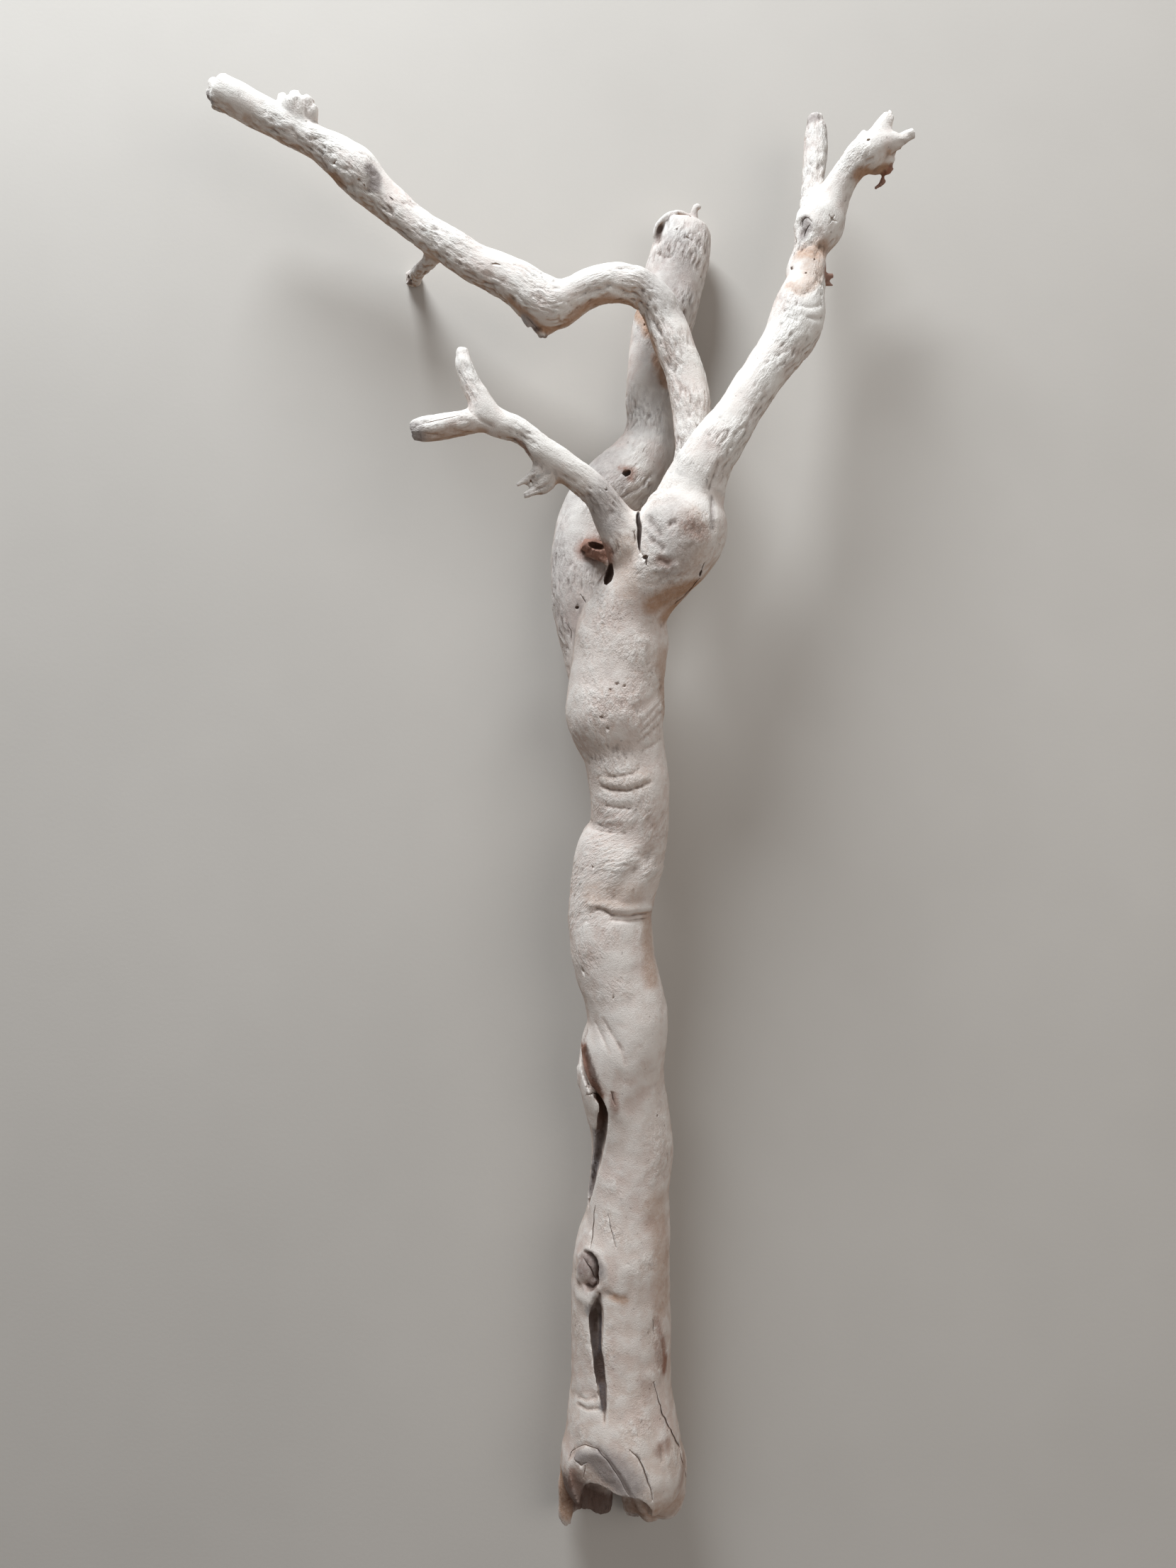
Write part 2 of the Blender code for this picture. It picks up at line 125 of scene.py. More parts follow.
# The foot flares into two toes, which stand on either side of its hollow.
TOES = (
    ((17, -385, 36, 12), (9, -408, 33, 7.5), (5.5, -428, 28, 5), (5, -448, 24, 4)),
    ((14, -400, 20, 9), (9, -418, 17, 6.5), (6, -434, 15, 5), (5.5, -448, 14, 4)),
    ((55, -385, 33, 19), (61, -403, 32, 20), (64, -418, 30, 18), (67, -430, 25, 14), (67, -438, 21, 11.5)),
    ((16, -415, 10, 8), (17, -434, 8, 7), (17, -447, 8, 6.5)),
    ((28, -415, 10, 8), (28, -434, 8, 7), (28, -450, 8, 6.5)),
    ((44, -415, 10, 8), (48, -436, 8, 7), (50, -452, 8, 6.5)),
)
LIMBS = (
    TRUNK,
    REAR_LIMB,
    REAR_HORN,
    RIGHT_LIMB,
    RIGHT_FINGER,
    *RIGHT_PRONGS,
    FRONT_LIMB,
    FRONT_UPPER_FINGER,
    FRONT_LEFT_FINGER,
    *FRONT_SPURS,
    LOOP_LIMB,
    *LOOP_STUBS,
    PROP_SPUR,
    *TOES,
)

# Thin forms that stay crisp, because they are added after the limbs are smoothed: stations again.
THIN_FORMS = {
    "broken_stub": ((41, 165, 50, 4.6), (31, 169, 53, 5), (22, 172, 55, 4.8), (15.5, 174, 56, 3.6)),
    "stub_bridge": ((18, 169, 55, 2.2), (28, 165, 55, 2.4), (37, 161, 55, 2.4)),
    "front_prong_one": (
        (-5, 209, 101, 4.4), (-12, 205, 100.5, 3), (-17, 202, 100, 2.2), (-22.5, 198.5, 100, 1.5),
    ),
    "front_prong_two": (
        (-3, 201, 100, 4.4), (-9, 197, 98.5, 3.3), (-14, 195, 98, 2.6), (-18.5, 193.2, 98, 1.8),
    ),
    "torn_strip": ((-27, 228, 100, 1.4), (-22, 226, 99, 1.5), (-18.5, 222.5, 98, 1.5), (-16, 217.5, 98, 1.1)),
    "left_finger_end": ((-70, 227.2, 115, 6.1), (-77.5, 226, 116, 5.9), (-80.6, 225.2, 116, 4.6)),
    "prong_web": ((-8, 203, 100, 3.6), (-13, 201, 99.5, 2.6), (-16.8, 199.2, 99, 1.2)),
    "upper_finger_end": (
        (-49.5, 261, 110, 4.3), (-51.5, 267, 109.8, 4.5), (-52.4, 272, 109.5, 4.5),
        (-52.3, 275.2, 109.5, 3.2),
    ),
    "right_prong_one": (
        (192, 411, 73, 7), (197, 420, 74, 4.2), (199.3, 426, 74.5, 2.3), (200.2, 430, 74.5, 1),
    ),
    "right_prong_one_fin": ((188, 413, 73, 4), (191, 418, 73.5, 2.4), (193.5, 422.5, 74, 1.2)),
    "right_prong_notch": ((184, 413, 73, 4), (184.7, 417, 73, 2), (184.7, 419, 73, 0.9)),
    "right_prong_two": (
        (199, 409, 74, 5.4), (206, 411.5, 75.5, 3.6), (210.5, 414, 76.5, 2.9),
        (213.5, 415.3, 76.5, 2.5),
    ),
    "prong_splinter_one": ((201, 411, 73, 3.4), (206, 409.5, 72, 2), (208, 409, 71.5, 1)),
    "prong_splinter_two": ((197, 409, 71, 3.4), (203, 406.8, 70, 1.8), (205, 406.4, 70, 0.9)),
    "torn_lobe_edge": ((196, 405, 69, 6), (201.5, 404.5, 67, 4.2), (204.3, 404, 66, 2.4)),
    "torn_lobe_knob": ((192, 404, 66, 6), (198.5, 401, 64, 4.2), (201, 399.5, 63, 3.2)),
    "torn_lobe_twig": ((200, 395.5, 62, 2.4), (197.5, 392.6, 61, 1.3), (194.5, 390.3, 61, 0.9)),
    "torn_lobe_splinter": ((199, 399, 65, 3), (203, 399.7, 64, 1.9), (204.8, 401, 64, 0.9)),
    "dark_twig": ((158, 334, 66, 3.4), (164, 334, 66, 2.5), (168.3, 334.8, 66, 1.8)),
    "dark_twig_lower": ((160, 332, 65, 3), (165.5, 330, 65, 1.8), (168.4, 328.8, 65, 0.9)),
    "right_finger_end": ((161.5, 424, 42, 5.2), (162.4, 446.8, 38.5, 4.9)),
    "sheath_lip": ((153, 386, 56, 3), (150.8, 383, 56, 2.2), (150, 380, 56, 1.1)),
    "rear_rim": (
        (62.5, 370, 24, 1.4), (61.8, 377, 26, 1.4), (63, 383, 27, 1.5), (68, 388.5, 27, 1.5),
        (73.5, 391.8, 26, 1.4), (78.5, 393, 25, 1.3), (82.5, 391.6, 24, 1.3), (87, 390.8, 24, 1.6),
    ),
    "rear_horn_hook": (
        (85, 383, 24, 4), (86.8, 389, 27, 2.5), (87, 392.8, 28.5, 1.8), (89, 394.8, 29, 1.5),
        (90.6, 393.6, 29.2, 0.9),
    ),
    "rear_horn_foot": ((89, 374, 19, 7.5), (89.5, 381, 22, 5.4), (88.8, 386.5, 25, 3)),
    "rear_plate_one": ((74, 368, 17, 7), (67.5, 373, 18, 6), (66.5, 380, 19, 4.6)),
    "rear_plate_two": ((76, 374, 16, 8), (71.5, 382, 18, 6.4), (73, 387, 19, 4.6)),
    "rear_plate_three": ((81, 378, 16, 8), (79, 386, 18, 5.4), (79, 390, 19, 3.6)),
    "rear_plate_four": ((88, 378, 16, 7), (86, 386, 18, 5), (85, 389.5, 19, 3.4)),
    "rear_plate_five": ((72, 374, 17, 7), (65.5, 380, 20.5, 4.8), (66, 385.5, 22, 4)),
    "rear_plate_six": ((78, 378, 17, 8), (70.5, 386, 21, 5.4), (72.5, 389.6, 22.5, 4)),
    "rear_plate_seven": ((84, 380, 18, 8), (80, 389, 20, 4.6), (77.5, 391.5, 21, 3.6)),
    "loop_crown_one": ((-161, 435, 65, 5), (-166, 441.5, 66, 3.6), (-167, 444.8, 66.5, 2.4)),
    "loop_crown_two": ((-157, 437, 65, 5.4), (-158.5, 443, 66.5, 4.4), (-158.8, 446.3, 67, 2.8)),
    "loop_crown_three": ((-153, 436, 65, 5.4), (-151, 440.5, 66.5, 4.4), (-149.3, 442.6, 67, 2.8)),
    "loop_crown_four": ((-150, 431, 64, 5), (-147.8, 435.5, 66, 3.8), (-146.4, 437.6, 66, 2.4)),
    "loop_tip_one": ((-192, 440, 68, 6), (-199, 448.5, 70.5, 5), (-201, 453.5, 71, 2)),
    "loop_tip_two": ((-196, 440, 68, 6), (-205, 447, 70.5, 5), (-208, 450.3, 71, 2.2)),
    "loop_tip_three": ((-196, 439, 68, 6), (-207, 442.5, 69, 5), (-211.3, 443.4, 69, 2)),
    "loop_tip_four": ((-196, 438, 67, 6), (-205.5, 437.6, 66, 4), (-209.3, 436.4, 66, 1.6)),
    "loop_flap": ((-126, 406, 52, 7), (-131.5, 401.5, 49, 4.4), (-134.6, 398.4, 47.5, 1.8)),
    "loop_v_stub": ((-9, 312, 57, 8), (-8.5, 306, 55, 5.4), (-9, 301.5, 54, 2.6)),
    "loop_flake": ((-15, 318, 60, 3.6), (-18.5, 313.5, 60, 3.4), (-15.5, 307.5, 59, 3)),
    "crack_fibre_one": (
        (15.7, -136, 56, 1.2), (17.5, -145.5, 57, 1.5), (20, -154, 57, 1.6), (23, -164, 57, 1.4),
        (24.5, -172, 56, 0.9),
    ),
    "crack_fibre_two": ((21, -160, 52, 1.6), (25, -170, 52, 2), (27, -180, 52, 1.6), (26, -190, 51, 1.2)),
    "knot_plug": ((16, -282, 47, 5.4), (19.5, -274, 49.8, 7), (21, -265, 49.5, 5.4)),
    "knot_plug_bump": ((20, -278, 53, 2.6), (23, -282, 54, 2.2)),
    "toe_fill": ((54, -424, 24, 9), (56, -435, 22, 9), (56, -441, 20, 7.5)),
    "toe_fill_inner": ((49, -425, 20, 8), (48.5, -436, 19, 7.5), (49, -443, 18, 6)),
    "toe_fill_outer": ((57, -434, 22, 8.5), (59, -442, 21, 8), (59.5, -445.5, 20, 7)),
    "spur_claw_one": ((-93, 359, 10, 3.8), (-98, 361.5, 6, 2.6), (-101, 362, 5, 1.4)),
    "spur_claw_two": ((-95, 358, 8, 3.8), (-99, 356.5, 5, 2.4), (-101, 355.5, 4, 1.2)),
}

# Wide cracks, each with its depth over its width: x, y, z and half width.
CRACKS = {
    "left_crack": (
        2.4,
        (19, -125, 55, 0.8), (15, -140, 53, 1.6), (20, -158, 58, 2.2), (28, -169, 60, 2.8),
        (28, -180, 59, 3.4), (26, -199, 53, 2.8), (22, -222, 46, 2), (20, -239, 42, 1),
    ),
    "foot_crack": (
        2,
        (26, -284, 62, 1.2), (24, -297, 61, 4.6), (24, -314, 61, 4.2), (26, -332, 61, 3.5),
        (28, -345, 62, 2.4), (29, -363, 66, 0.7),
    ),
}
# Hollows, as ellipsoids that are cut out: centre and half sizes.
HOLLOWS = {
    "knot_cup": ((20, -273, 56.5), (9.4, 12.5, 7)),
    "foot_slit": ((38.5, -446, 12), (2.4, 16, 16)),
}
HOLLOW_SUBDIVISIONS = 3
# The rotten hollow in the foot and the gap over it, as rounded blocks: centre, size and turn.
ROUNDED_BLOCKS = {
    "foot_hollow": ((30, -445, 32), (39, 124, 38), 0),
    "foot_gap": ((29, -455, 58), (43, 106, 88), -11),
}
BLOCK_ROUNDING = 11
BLOCK_ROUNDING_STEPS = 4
# How many cuts each side of a block gets, and how far its skin wavers over what length.
BLOCK_CUTS = 5
BLOCK_WAVER = 3.4
BLOCK_WAVE = 15
# Saw cuts: a point on the plane, the way that the plane faces, and the width and length cut off.
SAW_CUTS = {
    "foot_scar": ((24, -391, 65), (-0.45, -0.2, 0.87), (46, 40)),
    "ground": ((0, 0, 0), (0, 0, -1), (1200, 1200)),
}
SAW_BLOCK_HEIGHT = 60

# Lumps and dents that are pushed out of or into the skin: centre, reach and height.
LUMPS = (
    ((22, 70, 72), 16, 3.0),
    ((45, 45, 84), 14, -1.6),
    ((36, -24, 78), 15, 1.4),
    ((43, -124, 76), 22, 1.8),
    ((84, 168, 92), 18, 2.0),
    ((-118, 398, 66), 12, 1.5),
    ((163, 372, 72), 8, 1.2),
)

# Creases in the wood, by the pixels that they cross in the picture: half width and depth first.
# A crease is a sharp line in a soft valley, which is wider and shallower by the shares given.
CREASE_VALLEY = (2.4, 0.4)
CREASE_LINE = 0.7
CREASE_FADE = 1.15
CREASES = (
    (0.8, 0.8, (848, 1095), (870, 1096), (892, 1092), (906, 1082)),
    (0.9, 1.4, (846, 1109), (862, 1115), (884, 1116), (904, 1110), (919, 1102)),
    (0.7, 0.8, (854, 1136), (872, 1140), (892, 1140)),
    (0.7, 0.6, (833, 1168), (852, 1173), (882, 1176)),
    (1.0, 1.8, (842, 1282), (852, 1284), (863, 1291), (888, 1293), (918, 1288)),
    (0.8, 1.2, (862, 1297), (888, 1299), (917, 1295)),
    (0.8, 0.6, (902, 1047), (937, 1016)),
    (0.8, 0.6, (904, 1034), (936, 1001)),
    (0.8, 0.6, (906, 1019), (936, 985)),
    (0.8, 0.5, (908, 1060), (936, 1040)),
    (0.9, 1.2, (812, 1980), (828, 1988), (846, 1987)),
    (0.9, 0.9, (812, 1970), (826, 1975), (838, 1971)),
    (1.0, 0.8, (926, 356), (936, 361), (946, 361)),
    (0.8, 0.7, (964, 334), (978, 339)),
    (1.4, 0.7, (1116, 366), (1124, 352), (1140, 345), (1168, 348)),
    (1.3, 0.9, (1110, 397), (1118, 408), (1128, 415), (1141, 410), (1155, 394), (1162, 380)),
    (0.9, 0.8, (1126, 430), (1145, 434), (1162, 428)),
    (0.9, 0.8, (1138, 446), (1152, 450), (1162, 448)),
    (1.0, 0.6, (1112, 446), (1126, 452)),
    (2.0, 1.3, (800, 424), (830, 412), (862, 402), (895, 418), (922, 452), (945, 500), (955, 545)),
    (1.0, 0.9, (1014, 652), (1008, 672), (1001, 690)),
    (0.8, 0.7, (1006, 700), (1003, 722), (1004, 745)),
    (0.7, 0.7, (590, 597), (612, 591), (650, 583)),
    (0.9, 0.8, (655, 566), (664, 582), (680, 594), (697, 602)),
    (0.8, 0.6, (840, 1440), (852, 1465), (862, 1486)),
    (0.8, 0.6, (852, 1436), (866, 1462), (880, 1484)),
    (0.8, 0.5, (872, 1470), (884, 1502)),
)
# Soft folds, ridges where the height is above nought and valleys where it is below it.
FOLDS = (
    (3.4, 1.5, (836, 1277), (862, 1282), (890, 1284), (916, 1281)),
    (2.2, 0.5, (852, 1103), (880, 1106), (912, 1096)),
    (2.2, 0.4, (848, 1125), (872, 1129), (900, 1127)),
    (2.6, 0.4, (848, 1156), (878, 1158), (905, 1156)),
    (5.0, -1.2, (866, 1262), (880, 1246), (900, 1226), (918, 1202)),
    (8.0, -1.1, (832, 1066), (858, 1060), (884, 1062), (905, 1072)),
    (3.4, -1.0, (902, 1000), (918, 990), (934, 972)),
    (2.4, -1.3, (916, 733), (923, 742), (930, 753)),
    (2.2, -1.2, (920, 762), (927, 767), (934, 773)),
    (1.8, -1.2, (945, 739), (951, 736)),
    (2.4, -1.2, (932, 790), (940, 793)),
    (3.2, -0.9, (976, 744), (986, 748)),
    (1.6, 1.2, (951, 797), (954, 797)),
    (2.0, 0.8, (936, 800), (948, 806), (962, 804)),
    (2.4, -0.9, (929, 340), (930, 332), (932, 322)),
    (3.0, 0.8, (940, 700), (925, 705), (910, 714)),
    (2.6, 1.0, (1127, 300), (1123, 318), (1128, 338)),
    (2.0, 0.8, (1128, 306), (1140, 302), (1148, 312), (1146, 330), (1138, 340)),
    (3.0, -1.0, (1132, 352), (1150, 356), (1162, 352)),
    (3.0, -0.7, (806, 1966), (822, 1964), (840, 1966)),
    (2.6, -0.8, (860, 1826), (872, 1834), (880, 1832)),
    (2.0, 0.9, (817, 1500), (818, 1540), (820, 1580)),
    (1.6, -0.8, (804, 2056), (812, 2044), (826, 2038), (842, 2044), (858, 2062), (874, 2086), (887, 2110)),
    (1.8, -0.6, (932, 2044), (934, 2060)),
    (5.0, 1.6, (1018, 690), (1020, 712)),
    (3.6, -1.8, (836, 1856), (841, 1900), (846, 1945)),
    (2.4, 1.0, (818, 1772), (829, 1762), (846, 1768), (854, 1786), (853, 1808), (842, 1826)),
    (4.0, 1.0, (816, 1828), (832, 1834), (846, 1832)),
)
# Holes that are cut into the skin: the pixel in the middle, half width, half length, turn and depth.
HOLES = {
    "crown_hole": (910, 786, 1.9, 1.3, -20, 3.5),
    "crown_hole_tail": (912, 792, 0.6, 2.6, 0, 3.0),
    "crown_side_hole": (988, 809, 0.8, 2.2, -15, 3.0),
    "rear_knot_hole": (884, 667, 2.9, 2.4, 25, 6.0),
    "rear_dot": (814, 857, 1.3, 1.0, 0, 2.5),
    "stub_cavity": (842, 770, 5.8, 2.2, -12, 4),
    "rear_gap": (859, 811, 3.2, 7.2, -10, 10),
    "spur_hole": (749, 681, 0.8, 1.7, 10, 5.0),
    "loop_slit": (472, 230, 1.6, 0.5, 20, 1.6),
    "loop_scar_one": (506, 254, 0.9, 0.5, -15, 0.8),
    "loop_scar_two": (514, 262, 0.6, 0.9, 10, 0.8),
    "right_slit": (1117, 378, 0.7, 2.5, 12, 2.0),
    "right_pit": (1225, 197, 1.1, 0.8, 0, 1.6),
    "right_star": (1174, 309, 0.9, 1.1, 30, 1.4),
    "right_dot_one": (1137, 385, 0.6, 0.8, 0, 1.0),
    "right_dot_two": (1149, 366, 0.6, 0.6, 0, 1.0),
    "neck_pit_one": (870, 965, 0.9, 0.7, 0, 1.0),
    "neck_pit_two": (861, 973, 0.7, 0.6, 0, 0.8),
    "neck_pit_three": (881, 968, 0.7, 0.6, 0, 0.8),
    "neck_scar_one": (848, 1012, 1.1, 0.8, -30, 0.9),
    "neck_scar_two": (857, 1028, 1.1, 0.6, -30, 0.9),
    "trunk_dot_one": (836, 1223, 0.6, 0.8, 0, 0.9),
    "trunk_dot_two": (927, 1574, 0.5, 0.8, 20, 1.0),
    "trunk_dot_three": (865, 1408, 0.5, 0.6, 0, 0.7),
    "trunk_dot_four": (823, 1370, 0.6, 0.9, 15, 0.8),
    "rear_arm_dot": (909, 458, 0.6, 0.8, 0, 0.9),
    "claw_hole_one": (577, 390, 1.4, 0.7, 0, 2.0),
    "claw_hole_two": (580, 395, 0.8, 0.6, 0, 1.6),
    "rear_tip_dot_one": (974, 305, 0.7, 0.9, 0, 0.9),
    "rear_tip_dot_two": (955, 323, 0.5, 0.7, 0, 0.8),
    "rear_tip_dot_three": (970, 335, 1.4, 0.4, -20, 0.8),
    "rear_tip_dot_four": (989, 391, 0.6, 0.6, 0, 0.8),
    "arm_dot": (855, 691, 0.7, 0.6, 0, 0.9),
}
# How far a hole's skin strays from an ellipsoid, and how often.
HOLE_ROUGHNESS = 0.28
HOLE_WAVES = 1.6
HOLE_SUBDIVISIONS = 2

# Stain and painted shade by kind: the share, the reach in millimetres, and the pixels that the mark lies
# along.
STAINS_AND_PAINTED_SHADE = {
    "rust": (
        (0.5, 1.8, (929, 1866), (932, 1882)),
        (0.65, 2.4, (934, 1890), (937, 1903)),
        (0.85, 3.0, (938, 1916), (937, 1932)),
        (0.4, 3.6, (928, 1898), (931, 1922)),
        (0.4, 2.5, (925, 1862), (932, 1885)),
        (0.3, 4.0, (905, 1945), (914, 1960), (912, 1975)),
        (0.6, 3.0, (866, 1546), (867, 1566)),
        (0.3, 5.0, (826, 1774), (838, 1790), (846, 1812), (826, 1814), (820, 1790)),
        (0.9, 3.0, (823, 1478), (830, 1520), (846, 1545), (852, 1575)),
        (1.0, 7.0, (822, 770), (840, 772), (856, 780)),
        (0.6, 2.5, (877, 660), (893, 664), (890, 675)),
        (0.6, 1.8, (728, 620), (740, 630), (745, 640)),
        (0.35, 2.5, (632, 598), (640, 596)),
        (1.0, 6.0, (1167, 390), (1171, 394), (1173, 400)),
        (0.9, 3.2, (1236, 264), (1250, 252), (1257, 240)),
        (0.5, 3.5, (932, 790), (941, 794)),
        (0.4, 6.0, (975, 742), (990, 750)),
        (0.5, 4.0, (930, 2045), (942, 2038)),
        (0.5, 3.0, (808, 2075), (803, 2095)),
        (0.4, 6.0, (960, 2095), (965, 2060)),
        (0.8, 2.0, (820, 1474), (829, 1515), (846, 1545), (852, 1575)),
    ),
    # Tan: real tan stains, and painted shade under the knob and the neck, under the loop arm and its node,
    # and along the trunk's right edge.
    "tan": (
        (0.7, 6.0, (792, 2080), (797, 2105), (800, 2135)),
        (0.5, 9.0, (890, 2128), (920, 2138), (950, 2125)),
        (0.7, 4.0, (802, 452), (830, 430), (860, 423), (890, 430), (910, 455), (926, 500), (938, 540)),
        (0.75, 6.0, (922, 852), (938, 844), (958, 834), (980, 826), (995, 820)),
        (0.7, 6.0, (940, 868), (955, 852), (975, 838)),
        (0.35, 8.0, (885, 770), (880, 800), (886, 830)),
        (0.65, 6.0, (1134, 356), (1147, 358), (1160, 352)),
        (0.45, 5.0, (1140, 352), (1144, 372), (1141, 392), (1130, 408)),
        (0.5, 4.0, (1154, 362), (1157, 380), (1151, 396)),
        (0.5, 3.5, (1114, 402), (1127, 410), (1141, 405), (1152, 392)),
        (0.9, 4.0, (1212, 246), (1235, 244), (1248, 240)),
        (0.8, 3.0, (720, 425), (745, 446), (760, 460), (775, 466), (800, 458)),
        (0.8, 4.0, (462, 246), (480, 256)),
        (0.6, 3.0, (866, 1830), (880, 1834)),
        (0.5, 5.0, (600, 620), (640, 612), (690, 614)),
        (0.4, 9.0, (925, 1700), (935, 1760), (935, 1840)),
        (0.5, 8.0, (935, 930), (938, 980), (936, 1040)),
        (0.5, 7.0, (915, 1300), (914, 1330), (920, 1380)),
        (0.35, 9.0, (836, 1262), (862, 1266), (892, 1264)),
        (0.25, 8.0, (852, 1102), (880, 1106), (906, 1100)),
        (0.3, 9.0, (975, 730), (985, 765), (970, 795)),
    ),
    # Grey: real grey stains, and painted shade over the rear limb, its tip and its left bulge, and under the
    # broken stub.
    "grey": (
        (0.9, 3.8, (523, 240), (529, 250), (529, 261)),
        (0.55, 2.6, (918, 736), (930, 752)),
        (0.5, 2.4, (921, 762), (933, 773)),
        (0.6, 1.8, (945, 739), (951, 737)),
        (0.4, 6.0, (920, 725), (925, 760)),
        (0.7, 3.5, (1140, 170), (1150, 166)),
        (0.8, 3.4, (1135, 312), (1139, 322), (1134, 332)),
        (0.7, 5.0, (583, 604), (588, 618)),
        (0.8, 4.0, (816, 2056), (835, 2060), (850, 2080), (875, 2100)),
        (0.75, 9.0, (848, 2062), (868, 2072), (888, 2098)),
        (0.75, 5.0, (820, 1790), (832, 1776), (845, 1792), (836, 1812)),
        (0.4, 11.0, (950, 730), (962, 755), (950, 790)),
        (0.55, 12.0, (856, 650), (864, 690), (850, 730)),
        (0.9, 3.5, (840, 1600), (838, 1640), (836, 1680)),
        (0.6, 4.0, (843, 1830), (838, 1845)),
        (0.7, 3.0, (834, 1852), (838, 1900), (845, 1950)),
        (0.35, 8.0, (800, 800), (830, 820), (845, 835)),
        (0.6, 6.0, (834, 795), (846, 806)),
        (0.4, 12.0, (930, 400), (960, 430), (950, 350)),
        (0.4, 12.0, (800, 870), (790, 820), (790, 780)),
        (0.7, 2.5, (292, 132), (298, 142)),
        (0.7, 4.0, (740, 450), (752, 462)),
        (0.5, 2.0, (1004, 705), (1004, 745)),
    ),
    # Painted shade inside the cracks and on the foot crack's shaded slope, in a bluish grey.
    "painted_crack_shade": (
        (0.9, 2.4, (848, 1856), (847, 1900), (850, 1950), (851, 1985)),
        (0.5, 3.0, (832, 1846), (838, 1890), (845, 1935)),
        (0.9, 1.8, (901, 724), (902, 745), (902, 772)),
        (0.5, 2.4, (850, 1570), (846, 1610), (840, 1660)),
    ),
    # Dark: rot in the foot's hollow, and painted shadow in the gap under the neck, in the broken stub's
    # cavity, in the claw's holes, under the rear rim and inside the trunk's crack.
    "dark": (
        (0.9, 9.0, (800, 2100), (830, 2118), (868, 2128)),
        (0.9, 3.0, (872, 2110), (873, 2132)),
        (0.5, 7.0, (890, 2125), (900, 2138)),
        (0.9, 3.0, (826, 1480), (840, 1530), (850, 1560), (847, 1590)),
        (1.0, 6.0, (858, 802), (859, 820)),
        (0.8, 3.0, (838, 768), (848, 772)),
        (0.7, 2.0, (577, 390), (578, 400)),
        (0.5, 2.6, (931, 324), (929, 332), (929, 340)),
        (0.7, 1.6, (755, 465), (762, 464)),
        (0.7, 1.6, (765, 476), (776, 476)),
    ),
}
# Each stain and painted shade fades over one reach, and is gone this many reaches from its line.
STAIN_AND_SHADE_SPREAD = 1.6

# Hairline cracks, by the pixels that they cross: half width, depth over width, and the pixels.
HAIRLINES = {
    "head_crack": (1.5, 3.2, (904, 714), (900, 726), (902, 742), (901, 757), (902, 772), (904, 780)),
    "head_crack_side": (0.5, 3, (894, 750), (896, 766)),
    "head_crack_foot": (0.5, 4, (903, 776), (907, 784)),
    "trunk_line": (0.35, 5, (839, 1700), (838, 1718), (836, 1740), (834, 1762)),
    "trunk_side_line": (0.4, 4, (828, 1545), (835, 1543), (842, 1542)),
    "trunk_slit": (0.4, 4, (862, 1540), (865, 1550), (868, 1560)),
    "knot_line": (0.45, 4, (823, 1774), (832, 1788), (842, 1806)),
    "thin_trunk_line": (0.25, 5, (858, 1715), (862, 1735), (868, 1760)),
    "foot_line": (0.45, 5, (921, 1950), (933, 1990), (943, 2013), (957, 2040), (967, 2080), (970, 2104)),
    "foot_line_two": (0.45, 5, (888, 2045), (900, 2058), (908, 2074), (917, 2098), (921, 2116)),
    "scar_line": (0.3, 4, (812, 2050), (811, 2060), (819, 2067), (828, 2064)),
    "head_line": (0.42, 5, (986, 816), (980, 824), (972, 833), (960, 845), (950, 853), (944, 857)),
    "head_line_top": (0.35, 4, (993, 795), (989, 806)),
    "star_line": (0.3, 3, (1170, 302), (1174, 309), (1180, 312)),
    "star_line_two": (0.3, 3, (1178, 303), (1172, 314)),
    "knot_scar_slit": (0.5, 3, (1143, 317), (1140, 322), (1136, 328), (1134, 334)),
    "knot_scar_ring": (0.3, 3, (1131, 320), (1133, 311), (1139, 307), (1145, 313)),
    "finger_groove": (0.3, 4, (588, 600), (612, 594), (648, 586)),
    "scar_edge": (
        0.3, 4, (802, 2062), (806, 2048), (824, 2038), (842, 2044), (856, 2060), (874, 2086), (888, 2112),
    ),
    "scar_line_three": (0.3, 3, (826, 2068), (823, 2084)),
    "flake_line": (0.35, 3, (743, 447), (751, 455), (760, 466)),
    "rear_line": (0.35, 4, (798, 878), (806, 890), (807, 906)),
    "rear_line_two": (0.3, 4, (819, 838), (824, 848), (828, 854)),
    "arm_slit": (0.45, 4, (694, 373), (700, 372), (707, 374)),
    "trunk_dash": (0.25, 4, (921, 1863), (922, 1882)),
}
# The step along a line in pixels, how far a crack strays and over what length, and how it narrows.
HAIRLINE_STEP = 6
HAIRLINE_JITTER = 0.8
HAIRLINE_SWAY = 5
HAIRLINE_TIP = 0.35
HAIRLINE_TAPER = 2

# A slow swell of the whole skin: its wavelength and height.
SWELL = (34, 0.9)
# How far the trunk's grain has turned about its pith, in radians, at lengths up from the foot.
TRUNK_TWIST = ((0, 0), (255, 0), (360, -1.3), (370, -1.3), (450, 1.2), (700, 1.2))
# Lengths along the grain below this one are on the trunk, because it is the first limb.
TRUNK_GRAIN_END = 900
# Each limb's lengths along the grain start this much after those of the limb before it.
LIMB_GRAIN_STEP = 1000
# How far out of a limb its grain reaches, and how much nearer than any other limb makes it clear.
GRAIN_REACH = 14
GRAIN_CLEAR = 5
LEAST_ACROSS = 0.1
# How pitted the skin is up the trunk, on the arms, on sides that look to the tips, and in patches.
PITTED_TRUNK = (-85, -50)
PITTED_TRUNK_SHARES = (0.12, 0.65)
PITTED_ARMS = 0.66
TRUNK_TIP_SIDE_LESS = 0.15
ARM_TIP_SIDE_LESS = 0.5
PATCH_SIZE = 19
PATCH_SHARE = 1.1
LEAST_PITTED = 0.08
